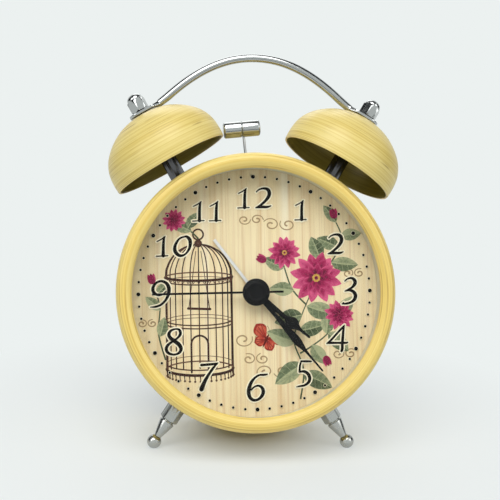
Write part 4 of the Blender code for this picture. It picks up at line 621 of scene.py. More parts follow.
def make_handle():
    """One rod, bent to an arch, with its ends pressed flat where the studs pass."""
    across, rise = Vector((cos(BELL_TILT), -sin(BELL_TILT))), Vector((sin(BELL_TILT), cos(BELL_TILT)))
    hole = Vector((BELL_MOUTH[0], BELL_MOUTH[2])) + rise * (BELL_HEIGHT + 0.8)
    # Places to the right of the top and below it, then along the flattened end from its hole
    arch = [(0, 0), (4.2, 0.28), (8.4, 1.14), (12.6, 2.64), (16.4, 4.55), (19.6, 6.55), (22.6, 8.75),
            (25.2, 10.9), (27.6, 13.05)]
    keys = [(x, BELL_MOUTH[1], HANDLE_TOP - down, ROD_RADIUS, ROD_RADIUS, 0.0) for x, down in arch]
    for along, lift, thick, wide, square in (
        (-6.6, 0.15, 1.2, 1.4, 0.0), (-5.6, 0.02, 0.95, 1.85, 0.2), (-4.6, 0.0, 0.66, 2.5, 0.6),
        (-3.4, 0.0, 0.5, 3.1, 0.9), (0.0, 0.0, 0.5, 3.2, 0.9), (2.2, 0.0, 0.5, 2.9, 0.9),
        (3.4, 0.0, 0.5, 2.2, 0.9), (4.15, 0.0, 0.48, 0.9, 0.9),
    ):
        point = hole + across * along + rise * lift
        keys.append((point.x, BELL_MOUTH[1], point.y, thick, wide, square))
    whole = [(-x, *rest) for x, *rest in keys[:0:-1]] + keys
    line = smooth_line(whole, 5)
    sweep("handle_rod", [key[:3] for key in line], [key[3:] for key in line], chrome, "case",
          ("handle",), sides=32)


def make_legs():
    """Turned feet: a hex collar, a cone, a thin neck and a ball."""
    start, end = CASE_RADIUS + CASE_GAP, CASE_RADIUS + 6.1
    corner = corner_radius(COLLAR_FLATS)
    cone = COLLAR_FLATS * 0.96 / 2
    neck = LEG_BALL - sqrt(BALL_RADIUS**2 - NECK_RADIUS**2)
    profile = [(0, start - 3.0), (1.5, start - 3.0), (1.5, start), (corner - 0.4, start)]
    profile += [(corner, start + 0.3), (corner, end - 0.3), (cone + 0.15, end), (cone - 0.1, end + 0.12)]
    profile += [(cone - 0.45, end + 0.3), (cone - 0.4, end + 0.5), (cone - 0.05, end + 0.62)]
    profile += [(cone, end + 0.95), (NECK_RADIUS + 0.05, neck - 0.15), (NECK_RADIUS, neck)]
    # The ball runs from the neck round to its foot
    turn = asin(NECK_RADIUS / BALL_RADIUS)
    steps = 20
    for i in range(1, steps):
        angle = (pi - turn) * (1 - i / steps)
        profile.append((BALL_RADIUS * sin(angle), LEG_BALL + BALL_RADIUS * cos(angle)))
    profile.append((0, LEG_BALL + BALL_RADIUS))
    for side, name in SIDES:
        foot = lathe(f"foot_{name}", profile, facing_out(side, LEG_Y, pi - LEG_ANGLE), satin, "case",
                     (f"leg_{name}",), facets=96, limit=hexagon(COLLAR_FLATS))
        rest_on_table(foot)


def make_hammer():
    """The head: a chromed roller with a fine groove round its middle, on the arm's wire."""
    # At rest it leans 6.5 degrees to the left; its wire ends at the groove
    head = facing_out(-1, BELL_MOUTH[1], radians(6.5), -4.15, 51.85)
    half = 5.8
    end = [(0, -half), (1.95, -half), (2.25, -half + 0.1), (2.45, -half + 0.3), (2.55, -half + 0.65),
           (2.55, -0.3), (2.45, -0.17)]
    profile = end + [(2.25, 0.0)] + [(radius, -height) for radius, height in end[::-1]]
    place = head @ Matrix.Rotation(pi / 2, 4, "Y")
    lathe("hammer_roller", profile, place, chrome, "hammer", ("hammer_head",), facets=96)


def blade(name, stations, y, angle, body):
    """The raised face of a stamped hand: distances from the middle with half widths, and a low ridge."""
    points, faces = [], []
    for along, half in stations:
        points += [(-half, -along, 0.0), (-half, -along, -0.08), (0.0, -along, -0.2), (half, -along, -0.08),
                   (half, -along, 0.0)]
    for i in range(0, 5 * (len(stations) - 1), 5):
        faces += [[i + k, i + (k + 1) % 5, i + 5 + (k + 1) % 5, i + 5 + k] for k in range(5)]
    faces += [list(range(5)), list(range(len(points) - 5, len(points)))]
    place = facing_back(0, y, 0, radians(angle))
    finish_piece(name, points, faces, place, black_paint, body)


# Degrees clockwise of twelve, at rest
HOUR_HAND_TURN, MINUTE_HAND_TURN, SECOND_HAND_TURN = 129.2, 139.0, 268.1


def make_hands():
    """The second hand, a fine needle with a short tail under a stepped cap, and the other hands' faces."""
    # Half the outline of a disc of 1.85 mm radius, 14.9 mm out along the hour hand
    disc = [(14.9 - 1.85 * cos(radians(a)), 1.85 * sin(radians(a))) for a in range(18, 167, 8)]
    blade("hour_hand_face", [(3.3, 0.62), (11.0, 0.52)] + disc + [(17.6, 0.42), (21.6, 0.38), (21.9, 0.2)],
          SECOND_HAND_Y + 1.6, HOUR_HAND_TURN, "hour")
    leaf = [(3.3, 0.68), (9.0, 0.62), (13.5, 0.74), (16.6, 1.08), (18.7, 1.3), (20.4, 1.22), (22.2, 0.8),
            (23.8, 0.45), (25.5, 0.34), (31.6, 0.27), (32.0, 0.12)]
    blade("minute_hand_face", leaf, SECOND_HAND_Y + 0.8, MINUTE_HAND_TURN, "minute")

    place = facing_back(0, SECOND_HAND_Y, 0, radians(SECOND_HAND_TURN))
    needle = [(-0.32, -2.0), (-0.32, -31.9), (0.32, -31.9), (0.32, -2.0), (0.32, 8.5), (-0.32, 8.5)]
    sheet("second_needle", needle, (0.0, 0.0), 0.3, place, black_paint, "second",
          ("second_hand",))
    cap = [(0, 0.15), (4.2, 0.15), (4.2, -0.3), (4.14, -0.44), (3.95, -0.52), (3.05, -0.52), (2.98, -0.56)]
    cap += [(2.94, -0.84), (2.84, -0.94), (2.2, -0.94), (2.12, -0.9), (2.04, -0.84), (0, -0.84)]
    lathe("hub_cap", cap, place, black_paint, "second", facets=128)


# Dial

DIAL_Y = 8.9
DIAL_TURN = radians(1.6)
DIAL_PLACE = facing_back(0, DIAL_Y, 0, -DIAL_TURN)
DIAL_THICKNESS, PIPE_HOLE = 0.5, 3.3
# How far each layer of ink lies in front of the one before it
INK_LAYER = 0.0002


def make_dial():
    """A printed sheet with a hole for the pipes."""
    points = []
    facets = 192
    for depth in (0.0, DIAL_THICKNESS):
        for radius in (PIPE_HOLE, 20.0, SEAT_RADIUS):
            for k in range(facets):
                points.append((*from_place(0, 0, radius, 2 * pi * k / facets), depth))
    # Over the front, round the edge, back over the rear, and through the hole
    faces = between_rings([0, 1, 2, 5, 4, 3, 0], facets)
    finish_piece("dial_sheet", points, faces, DIAL_PLACE, dial_print, "case", ("dial",),
                 flat_grain(points))


# The numerals as pen strokes in millimetres: keys of right, up and half the stroke's width; True closes one
DIGITS = {
    "0": [(True, (0.76, 2.93, 0.24), (-1.01, 2.23, 0.26), (-2.28, 0.20, 0.38), (-2.28, -1.65, 0.46),
           (-0.93, -2.92, 0.38), (0.76, -2.50, 0.24), (2.11, -0.64, 0.34), (2.36, 1.55, 0.46),
           (1.60, 2.73, 0.38))],
    "1": [(False, (0.95, 3.05, 0.12), (0.62, 2.10, 0.30), (0.45, 0.50, 0.36), (0.38, -1.50, 0.38),
           (0.35, -2.90, 0.42)),
          (False, (1.00, 3.05, 0.14), (0.10, 2.35, 0.16), (-0.90, 1.80, 0.15), (-1.50, 1.50, 0.12)),
          (False, (-1.78, -3.02, 0.14), (0.0, -2.96, 0.15), (1.78, -2.90, 0.14))],
    "2": [(False, (-1.96, 1.96, 0.15), (-1.11, 2.68, 0.20), (0.32, 3.03, 0.28), (1.57, 2.68, 0.42),
           (2.07, 1.61, 0.46), (1.75, 0.36, 0.42), (0.59, -1.07, 0.34), (-0.93, -2.32, 0.28),
           (-2.27, -3.00, 0.15)),
          (False, (-2.18, -2.95, 0.18), (-0.57, -2.77, 0.34), (1.39, -2.77, 0.30), (2.50, -2.41, 0.12))],
    "3": [(False, (-1.16, 3.07, 0.15), (-0.18, 3.78, 0.22), (1.07, 3.96, 0.32), (1.96, 3.25, 0.44),
           (2.05, 2.27, 0.44), (1.25, 1.20, 0.32), (0.36, 0.66, 0.24), (-0.90, 0.10, 0.15)),
          (False, (-1.16, -0.05, 0.15), (0.18, 0.21, 0.30), (1.43, -0.23, 0.40), (2.11, -1.39, 0.46),
           (1.79, -2.64, 0.42), (0.71, -3.53, 0.32), (-0.71, -3.93, 0.28), (-2.23, -4.07, 0.12)),
          (False, (-2.20, -4.05, 0.12), (-1.65, -3.60, 0.16))],
    "4": [(False, (2.40, 4.10, 0.08), (1.70, 3.30, 0.26), (0.0, 1.55, 0.26), (-1.90, -0.45, 0.28),
           (-3.30, -1.60, 0.20)),
          (False, (-3.35, -1.58, 0.10), (-2.40, -1.42, 0.30), (0.0, -1.45, 0.28), (2.50, -1.50, 0.28),
           (3.30, -1.30, 0.12)),
          (False, (2.30, 3.90, 0.12), (1.95, 2.40, 0.30), (1.75, 0.50, 0.34), (1.55, -1.50, 0.36),
           (1.45, -3.30, 0.36), (1.20, -4.05, 0.28))],
    "5": [(False, (2.38, 3.76, 0.20), (0.71, 3.79, 0.27), (-0.79, 3.89, 0.20)),
          (False, (-0.75, 3.90, 0.20), (-1.19, 2.46, 0.26), (-1.35, 0.63, 0.28)),
          (False, (-1.43, 0.52, 0.18), (0.0, 0.71, 0.34), (1.27, -0.08, 0.40), (1.79, -1.43, 0.42),
           (1.35, -2.70, 0.36), (0.08, -3.57, 0.28), (-1.35, -3.81, 0.24), (-2.38, -4.01, 0.12))],
    "6": [(False, (3.25, 4.03, 0.18), (2.22, 3.87, 0.28), (0.87, 3.84, 0.25), (-0.48, 3.13, 0.28),
           (-1.67, 1.78, 0.38), (-2.41, 0.11, 0.46), (-2.62, -1.48, 0.48), (-2.22, -2.98, 0.44),
           (-1.11, -3.81, 0.36), (0.24, -3.62, 0.32), (1.43, -2.59, 0.40), (1.90, -1.24, 0.44),
           (1.51, -0.05, 0.38), (0.56, 0.54, 0.28), (-0.63, 0.35, 0.22), (-1.83, -0.60, 0.18))],
    "7": [(False, (-2.44, 3.37, 0.30), (-0.08, 3.51, 0.32), (2.36, 3.68, 0.28)),
          (False, (2.70, 3.96, 0.12), (1.35, 2.53, 0.30), (0.08, 0.84, 0.34), (-1.10, -1.01, 0.42),
           (-2.02, -2.87, 0.52), (-2.48, -4.01, 0.56))],
    "8": [(True, (0.84, 3.86, 0.22), (-0.76, 3.41, 0.30), (-1.47, 2.23, 0.42), (-0.93, 1.05, 0.46),
           (0.42, 0.03, 0.48), (1.60, -0.98, 0.50), (2.19, -2.24, 0.44), (1.60, -3.42, 0.32),
           (0.08, -3.96, 0.26), (-1.60, -3.51, 0.34), (-2.36, -2.33, 0.40), (-1.85, -1.06, 0.36),
           (-0.42, 0.03, 0.26), (1.10, 1.05, 0.26), (2.02, 2.23, 0.36), (1.85, 3.41, 0.34))],
    "9": [(False, (1.82, 0.84, 0.15), (0.81, -0.08, 0.20), (-0.54, -0.34, 0.28), (-1.89, 0.42, 0.40),
           (-2.23, 1.77, 0.40), (-1.38, 3.29, 0.30), (0.30, 3.96, 0.30), (1.91, 3.29, 0.40),
           (2.66, 1.77, 0.46), (2.50, -0.08, 0.40), (1.57, -1.94, 0.30), (0.13, -3.29, 0.28),
           (-1.55, -3.88, 0.26), (-3.07, -3.96, 0.12))],
}
# Each hour's digits, and how far each stands to the right of the hour's place
NUMERALS = {hour: [(str(hour), 0.0)] for hour in range(1, 10)}
NUMERALS[10] = [("1", -3.2), ("0", 3.15)]
NUMERALS[11] = [("1", -2.6), ("1", 2.6)]
NUMERALS[12] = [("1", -3.15), ("2", 2.95)]
# The circles that the hours and the minutes stand on, and how much broader than its keys the pen is
NUMERAL_CIRCLE, DOT_CIRCLE, PEN = 29.3, 36.0, 1.25


class Print:
    """Flat inked shapes on the dial. Each is laid a hair in front of the one before it, so that they stack
    as layers of ink do."""

    def __init__(self, depth):
        self.points, self.faces, self.shade = [], [], []
        self.depth = depth

    def fan(self, outline, middle, rim, heart):
        """Triangles from a middle to an outline. The rim's tone may be a list, one for each point."""
        first, count = len(self.points), len(outline)
        self.points += [(x, -y, self.depth) for x, y in outline] + [(middle[0], -middle[1], self.depth)]
        self.shade += (rim if isinstance(rim, list) else [rim] * count) + [heart]
        self.faces += [[first + k, first + (k + 1) % count, first + count] for k in range(count)]

    def shape(self, outline, middle, rim, heart):
        """A filled outline with one tone at its rim and one at its heart."""
        self.depth -= INK_LAYER
        self.fan(outline, middle, rim, heart)

    def stroke(self, keys, closed=False, grow=0.0, tone=0.0, steps=7):
        """A pen stroke through keys of right, up and half width, with round ends."""
        line = smooth_line(keys, steps, closed)
        self.depth -= INK_LAYER
        rows, total = [], len(line)
        for i, (x, y, half) in enumerate(line):
            before = line[i - 1] if closed or i else line[0]
            after = line[(i + 1) % total] if closed or i < total - 1 else line[-1]
            run = Vector((after[0] - before[0], after[1] - before[1])).normalized()
            half += grow
            rows.append(len(self.points))
            self.points.append((x - run.y * half, -(y + run.x * half), self.depth))
            self.points.append((x + run.y * half, -(y - run.x * half), self.depth))
        pairs = list(zip(rows, rows[1:])) + ([(rows[-1], rows[0])] if closed else [])
        self.faces += [[a, a + 1, b + 1, b] for a, b in pairs]
        self.shade += [tone] * (2 * total)
        if not closed:
            for x, y, half in (line[0], line[-1]):
                self.fan(arc(x, y, half + grow, 0, 330, 11), (x, y), tone, tone)

    def make(self, name, material):
        """All that is inked so far, as one piece."""
        finish_piece(name, self.points, self.faces, DIAL_PLACE, material, "case",
                     grain=flat_grain(self.points), shade=self.shade)


def make_numerals():
    """Italic pen numerals with a pale outline, and a dot for each minute. Angles run from twelve."""
    # The ink lies in front of its outline, which shows as a rim round it
    ink, halo = Print(-0.20), Print(-0.15)
    for hour, digits in NUMERALS.items():
        y, x = from_place(0, 0, NUMERAL_CIRCLE, radians(30 * hour))
        for digit, along in digits:
            for closed, *keys in DIGITS[digit]:
                placed = [(x + along + right, y + up, half * PEN) for right, up, half in keys]
                ink.stroke(placed, closed)
                halo.stroke(placed, closed, grow=0.40)
    for minute in range(60):
        y, x = from_place(0, 0, DOT_CIRCLE, radians(6 * minute))
        radius = 0.40 if minute % 5 else 0.62
        ink.shape(arc(x, y, radius, 0, 345, 23), (x, y), 0.0, 0.0)
        halo.shape(arc(x, y, radius + 0.12, 0, 345, 23), (x, y), 0.0, 0.0)
    ink.make("numerals_and_dots", black_ink)
    halo.make("numeral_outlines", cream_ink)


def petal_outline(x, y, angle, length, width, point=1.0, bend=0.0):
    """A petal's, leaf's or wing's outline from its foot; a larger point moves its widest part outward."""
    left, right = [], []
    for i in range(1, 10):
        t = i / 10
        half = width / 2 * sin(pi * t ** (0.75 * point)) ** 0.8
        side = bend * length * t * t
        for found, sign in ((left, 1), (right, -1)):
            u, v = length * t, side + sign * half
            found.append((x + u * cos(angle) - v * sin(angle), y + u * sin(angle) + v * cos(angle)))
    v = bend * length
    tip = (x + length * cos(angle) - v * sin(angle), y + length * sin(angle) + v * cos(angle))
    return [(x, y)] + left + [tip] + right[::-1]


def draw_blossom(petals, hearts, x, y, size, turn, chance):
    """An open blossom of many narrow petals in four rings, smaller and darker toward its heart."""
    rings = ((12, 1.0, 0.40), (11, 0.80, 0.34), (9, 0.58, 0.28), (7, 0.38, 0.22))
    for ring, (count, reach, wide) in enumerate(rings):
        for k in range(count):
            angle = turn + ring * 0.3 + 2 * pi * k / count + chance.uniform(-0.07, 0.07)
            length = size * reach * chance.uniform(0.92, 1.05)
            outline = petal_outline(x, y, angle, length, size * wide, 1.5, chance.uniform(-0.08, 0.08))
            rim = 0.92 - 0.16 * ring + chance.uniform(-0.2, 0.14)
            middle = from_place(x, y, 0.5 * length, angle)
            petals.shape(outline, middle, [0.1] + [rim] * (len(outline) - 1), rim - 0.45)
            vein = [(x, y, 0.05 * wide * size), (*middle, 0.03 * wide * size)]
            vein.append((*from_place(x, y, 0.8 * length, angle), 0.02))
            petals.stroke(vein, tone=rim - 0.65, steps=1)
    for k in range(9):
        place = from_place(x, y, 0.11 * size, turn + 2 * pi * k / 9)
        hearts.shape(arc(*place, 0.045 * size, 0, 315, 7), place, 0.8, 0.5)


def draw_leaf(leaves, x, y, angle, length, width, bend, tone):
    """A leaf in two tones with a pale midrib and side veins."""
    outline = petal_outline(x, y, angle, length, width, 1.15, bend)
    half = len(outline) // 2
    spine = [outline[0]]
    for i in range(1, half):
        a, b = outline[i], outline[-i]
        spine.append(((a[0] + b[0]) / 2, (a[1] + b[1]) / 2))
    spine.append(outline[half])
    left, right = outline[: half + 1], [outline[0]] + outline[: half - 1 : -1]
    for side, shade in ((left, tone), (right, tone - 0.35)):
        ends = side + spine[-2:0:-1]
        centre = tuple(sum(value) / len(ends) for value in zip(*ends))
        leaves.shape(ends, centre, [shade + (0.3 if k % 2 else 0.0) for k in range(len(ends))], shade - 0.1)
    leaves.stroke([(px, py, 0.14 * (1 - 0.6 * i / len(spine))) for i, (px, py) in enumerate(spine)],
                  tone=1.1, steps=2)
    for i in range(2, half - 1, 2):
        for edge in (outline[i + 1], outline[-i - 1]):
            leaves.stroke([(*spine[i], 0.06), (*edge, 0.03)], tone=0.95, steps=1)


def draw_birdcage(cage, middle, foot, eaves, reach, top, chance):
    """A domed wire birdcage: bars that meet under a ring, hoops round it, and a footed base."""
    for turn in range(-6, 7):
        x = middle + reach * sin(radians(15 * turn))
        inward = x - middle
        keys = [(x, foot, 0.2), (x, (foot + eaves) / 2, 0.17), (x, eaves, 0.2)]
        keys += [(middle + inward * cos(radians(a)), eaves + (top - eaves) * sin(radians(a)), 0.18)
                 for a in (18, 36, 54, 72, 86)]
        cage.stroke(keys, tone=chance.uniform(0.0, 0.45), steps=3)
    # Hoops seen from a little above: a front half and a fainter back half
    for height, dip, half, tone in (
        (foot, 2.2, 0.42, 0.1), (foot + 1.6, 2.2, 0.2, 0.4), (-9.2, 1.7, 0.2, 0.35),
        (-8.2, 1.7, 0.2, 0.35), (eaves - 1.3, 1.3, 0.2, 0.3), (eaves, 1.3, 0.4, 0.1),
    ):
        for sign, wide, shown in ((1, half, tone), (-1, half * 0.5, 0.7)):
            keys = [(middle + reach * cos(radians(a)), height - sign * dip * sin(radians(a)), wide)
                    for a in range(0, 181, 15)]
            cage.stroke(keys, tone=shown, steps=3)
    for k in range(-9, 10):
        # A scalloped band between the two upper hoops, and another under the base
        x = middle + reach * sin(radians(9.5 * k))
        low = eaves - 1.3 * cos(radians(9.5 * k))
        cage.stroke([(x - 0.5, low, 0.1), (x, low - 0.9, 0.12), (x + 0.5, low, 0.1)], tone=0.5, steps=4)
        low = foot - 2.2 * cos(radians(9.5 * k))
        cage.stroke([(x, low, 0.22), (x + 0.1, low - 1.5, 0.12)], tone=0.2, steps=1)
        cage.shape(arc(x + 0.1, low - 1.9, 0.36, 0, 315, 7), (x + 0.1, low - 1.9), 0.3, 0.8)
    # The door, the perch and its swing, the ring on top
    for x in (middle - 2.6, middle + 2.6):
        cage.stroke([(x, foot - 1.2, 0.3), (x, foot + 7.6, 0.3)], tone=0.15, steps=1)
    lintel = [(x, y, 0.3) for x, y in arc(middle, foot + 7.4, 2.6, 0, 180, 9)]
    cage.stroke(lintel, tone=0.15, steps=3)
    cage.stroke([(middle - 3.4, -4.6, 0.36), (middle + 3.4, -4.9, 0.36)], tone=0.25, steps=1)
    for x in (-3.2, 3.2):
        cage.stroke([(middle + x, -4.7, 0.13), (middle + 0.25 * x, top - 2.2, 0.1)], tone=0.3, steps=1)
    cage.shape(arc(middle, top + 0.2, 1.2, 0, 345, 23), (middle, top + 0.2), 0.15, 0.6)
    cage.stroke([(x, y, 0.26) for x, y in arc(middle, top + 3.0, 1.6, 0, 340, 17)], True, tone=0.2, steps=2)


def draw_scroll(scrolls, x, y, size, turn):
    """A pair of pen curls that wind in opposite ways, one at each side of a place."""
    for sense in (-1, 1):
        keys = []
        for k in range(15):
            angle, reach = radians(turn + sense * 32 * k), size * (1.0 - 0.055 * k)
            keys.append((x + sense * size + reach * cos(angle), y + 0.8 * reach * sin(angle),
                         0.15 + 0.008 * k))
        scrolls.stroke(keys, tone=0.5, steps=3)


def draw_butterfly(wings, x, y, lean):
    """A butterfly seen from above, its head toward a lean in degrees from the right."""
    for sign in (-1, 1):
        for angle, length, width, point in ((128, 3.9, 3.4, 1.6), (58, 5.8, 4.4, 2.0)):
            turn = radians(lean + sign * angle)
            wings.shape(petal_outline(x, y, turn, length, width, point), (x, y), 0.3, 0.75)
            wings.shape(petal_outline(x, y, turn, length * 0.86, width * 0.78, point), (x, y), 0.72, 0.3)
            for spread in (-0.24, 0.0, 0.24):
                end = from_place(x, y, 0.8 * length, turn + spread)
                wings.stroke([(x, y, 0.05), (*end, 0.09)], steps=1)
    axis = radians(lean)
    wings.stroke([(*from_place(x, y, along, axis), half) for along, half in
                  ((-2.6, 0.1), (-1.2, 0.3), (0.4, 0.36), (1.5, 0.26), (1.9, 0.2))], tone=-0.2)
    for sway in (-0.35, 0.35):
        wings.stroke([(*from_place(x, y, along, axis + aside), 0.06) for along, aside in
                      ((1.9, 0), (3.2, 0.5 * sway), (4.2, sway))], tone=-0.2)


def make_garden_print():
    """A garden print: a wire birdcage at the left, magenta blossoms at the right, and a red butterfly.
    Places are right and up from the middle of the dial."""
    chance = Random(11)
    scrolls = Print(-0.004)
    for x, y, size, turn in (
        (-1.0, -14.5, 3.0, 20), (5.2, -24.5, 2.6, 200), (-1.0, 22.6, 2.0, 0), (8.0, 21.0, 2.6, 150),
        (-33.4, -9.0, 1.6, 90), (27.5, -19.5, 2.0, 40), (-0.2, -20.5, 2.2, 110), (31.0, 5.5, 1.8, 70),
    ):
        draw_scroll(scrolls, x, y, size, turn)
    scrolls.make("print_scrolls", print_faint)

    cage = Print(scrolls.depth)
    draw_birdcage(cage, -17.4, -23.0, 5.2, 10.2, 15.2, chance)
    cage.make("print_birdcage", print_brown)

    leaves, petals, hearts = Print(cage.depth), Print(-0.09), Print(-0.13)
    for stem in (
        [(13.5, -33.0), (14.6, -24.0), (11.8, -15.0), (14.5, -7.0), (18.0, 1.0), (20.0, 8.0)],
        [(13.8, -19.0), (18.0, -16.5), (22.5, -13.0), (26.5, -7.5)],
        [(15.8, -4.0), (11.5, 1.0), (9.0, 8.5)],
        [(18.5, 3.0), (24.0, 9.0), (27.5, 16.0), (25.6, 22.0)],
        [(-17.4, 17.0), (-20.5, 20.0), (-24.0, 22.0)],
        [(-28.0, -20.0), (-30.0, -12.0), (-29.5, -4.0), (-31.5, 3.0)],
    ):
        leaves.stroke([(x, y, 0.26 - 0.025 * i) for i, (x, y) in enumerate(stem)], tone=0.15)
    for x, y, angle, length, width, bend, tone in (
        (14.5, -22.5, 205, 10.5, 5.8, 0.15, 0.75), (14.4, -25.5, -20, 10.0, 5.4, -0.1, 0.55),
        (12.4, -15.5, 165, 9.5, 5.2, -0.1, 0.9), (13.6, -12.0, 5, 8.5, 4.8, 0.12, 0.5),
        (17.5, -16.5, -60, 7.5, 4.4, 0.1, 0.95), (22.5, -13.0, -35, 8.5, 4.8, -0.12, 0.65),
        (22.0, -13.2, 80, 7.0, 4.2, 0.1, 0.8), (26.3, -7.8, 60, 7.5, 4.2, -0.1, 0.9),
        (14.6, -7.2, 188, 9.0, 5.2, 0.12, 0.5), (16.0, -4.5, -22, 10.0, 5.4, 0.1, 0.75),
        (12.0, 0.4, 168, 7.5, 4.4, 0.1, 0.9), (9.2, 7.5, 160, 7.0, 4.0, -0.1, 0.6),
        (24.0, 9.0, -12, 8.5, 4.6, 0.1, 0.7), (26.5, 13.5, 150, 7.5, 4.4, 0.1, 0.55),
        (27.3, 17.0, 15, 6.5, 3.8, -0.1, 0.9), (25.8, 21.5, 120, 6.5, 3.4, 0.1, 0.6),
        (-19.5, 19.2, 150, 6.5, 3.6, 0.1, 0.7), (-20.5, 20.2, 60, 6.0, 3.4, -0.1, 0.5),
        (-29.6, -13.0, 70, 6.0, 3.4, 0.1, 0.75), (-29.5, -5.0, 130, 6.0, 3.2, 0.1, 0.9),
        (-30.5, 0.0, 40, 5.0, 2.8, 0.1, 0.6), (20.5, 10.0, 105, 7.5, 4.6, 0.1, 0.5),
    ):
        draw_leaf(leaves, x, y, radians(angle), length, width, bend, tone)
    for x, y, size in ((19.2, 4.2, 8.4), (9.4, 12.2, 5.2), (26.2, -7.4, 4.8), (-24.8, 22.6, 3.6)):
        draw_blossom(petals, hearts, x, y, size, chance.uniform(0, 1), chance)
    # Buds of three petals
    for x, y, angle in ((25.4, 22.6, 100), (21.4, -20.0, -70), (3.6, 9.6, 150), (-31.6, 3.0, 100)):
        for k, turn in enumerate((-16, 16, 0)):
            bud = petal_outline(x, y, radians(angle + turn), 3.4, 1.7)
            petals.shape(bud, (x, y), 0.7 - 0.2 * k, 0.2)
    leaves.make("print_leaves", print_green)
    petals.make("print_petals", print_magenta)
    hearts.make("print_hearts", print_heart)

    wings = Print(cage.depth)
    draw_butterfly(wings, 3.2, -14.6, 64)
    wings.make("print_butterfly", print_red)


# Rear

# The cover's outer face, and the red button's place on it in right and up
COVER_Y, SWITCH_PLACE = 43.1, (-2.0, 13.0)
# The door's middle from the dial's, upward, with half its width and height
DOOR_MIDDLE, DOOR_HALF = -18.4, (26.1, 7.6)
# The screws' distance from the middle, the height of their heads, and each arm of the cross in them
SCREW_CIRCLE, SCREW_HEAD, SCREW_CROSS = 38.1, 1.05, (1.7, 0.34, 0.9)
BUTTON_TOP = 45.2


def joint_place(joint, y):
    """Facing back at a joint's own place on the dial's plane, at a depth."""
    found = CLOCK.inverted() @ Vector(JOINTS[joint]["pos_m"]) / MM
    return facing_back(found.x, y, found.z)


def rounded_box(half_width, half_height, radius, count=6):
    """The outline of a box with round corners, each of count steps."""
    found = []
    for across, up, start in ((1, 1, 0), (-1, 1, 90), (-1, -1, 180), (1, -1, 270)):
        x, y = across * (half_width - radius), up * (half_height - radius)
        found += arc(x, y, radius, start, start + 90, count)
    return found


def make_knobs():
    """Ribbed setting knobs with a dished top, each in a raised ring, with a raised arrow for its way."""
    low, top = 0.3, 6.3
    profile = [(0, low), (4.9, low), (5.0, low + 0.15), (5.0, top - 0.9), (4.9, top - 0.5),
               (4.55, top - 0.12)]
    profile += [(4.2, top), (3.7, top), (3.5, top - 0.12), (3.3, top - 0.4), (1.6, top - 0.62),
                (0, top - 0.66)]
    for name, joint, body, turns in (("time", "time_knob_spin", "time_setting", 1),
                                     ("alarm", "alarm_knob_spin", "alarm_setting", -1)):
        place = joint_place(joint, COVER_Y)
        # Sixteen round ribs on the side, which fade out over the rounded edge
        lathe(f"knob_{name}", profile, place, black_drawn, body, (f"{name}_knob",),
              facets=256, limit=lambda a: 4.6 + 0.38 * abs(cos(8 * a)) ** 0.7)
        ring = softened([(5.7, -0.1), (6.5, -0.1), (6.4, 0.3), (5.8, 0.3)], 0.15, closed=True)
        lathe(f"knob_ring_{name}", ring, place, black_drawn, "case", closed=True)
        middle = place.to_translation()
        bow = [(middle.x + x, COVER_Y, middle.z + z) for x, z in arc(0, 0, 7.9, 50, 130, 24)][:: turns]
        raised_line(f"arrow_{name}", bow)
        tip, before = Vector(bow[-1]), Vector(bow[-2])
        back = (before - tip).normalized() * 1.5
        side = Vector((-back.z, 0, back.x)) * 0.7
        raised_line(f"arrow_head_{name}", [tuple(tip + back + side), tuple(tip), tuple(tip + back - side)])


def raised_line(name, path):
    """A moulded line on the cover, 0.6 mm wide and 0.35 mm proud."""
    sweep(name, path, [(0.3, 0.35, 0.0)] * len(path), black_drawn, "case", sides=12)


def make_cover_trim():
    """The cover's moulded bow, the frames round its door and switch, and three cross-headed screws."""
    raised_line("cover_bow", [(x, COVER_Y, z) for x, z in arc(0, 0, 35.4, -10, 190, 120)])
    # The switch's slot reaches as far as the button slides, so its frame stands to the right of the button
    for name, x, z, size, corner in (
        ("door_frame", 0.0, DOOR_MIDDLE, (27.7, 9.0), 2.2),
        ("switch_frame", SWITCH_PLACE[0] + 2.0, SWITCH_PLACE[1], (6.0, 3.4), 1.2),
    ):
        line = rounded_box(*size, corner)
        raised_line(name, [(x + px, COVER_Y, z + pz) for px, pz in line + line[:2]])
    head = [(0, 0.2), (1.5, 0.2), (1.5, 0.42), (1.42, 0.62), (1.2, 0.84), (0.8, 0.99), (0.4, 1.04)]
    head += [(0, SCREW_HEAD)]
    for number, angle in enumerate((90.0, 205.0, 335.0), 1):
        x, z = from_place(0, 0, SCREW_CIRCLE, radians(angle))
        place = facing_back(x, COVER_Y, z)
        screw = lathe(f"screw_head_{number}", head, place, zinc, "case",
                      (f"cover_screw_{number}",), facets=64)
        for turn in (20 * number, 20 * number + 90):
            blade = DRAWN @ place @ Matrix.Rotation(radians(turn), 4, "Z") @ shift(0, 0, SCREW_HEAD)
            cut_box(screw, blade @ Matrix.Diagonal((*SCREW_CROSS, 1.0)))


def make_door():
    """The battery door's plate with an eased edge, and three ridges for the finger at its grip."""
    outline = rounded_box(*DOOR_HALF, 0.5, 4)
    eased = [(x * 0.994, y * 0.982) for x, y in outline]
    points = []
    for line, depth in ((eased, -0.9), (outline, -0.75), (outline, -0.15), (eased, 0.0)):
        points += [(x, y, depth) for x, y in line]
    count = len(outline)
    faces = between_rings(range(4), count)
    faces += [list(range(count)), list(range(3 * count, 4 * count))]
    place = facing_back(0, COVER_Y, DOOR_MIDDLE)
    finish_piece("door_plate", points, faces, place, black_drawn, "door",
                 ("battery_door",))
    top = DOOR_MIDDLE + DOOR_HALF[1] - 1.2
    for k, reach in enumerate((5.0, 4.2, 3.4)):
        path = [(x, COVER_Y, top - 1.1 * k) for x in (-reach, 0.0, reach)]
        sweep(f"door_ridge_{k + 1}", path, [(0.3, 0.6, 0.3)] * 3, black_drawn, "door",
              sides=20)


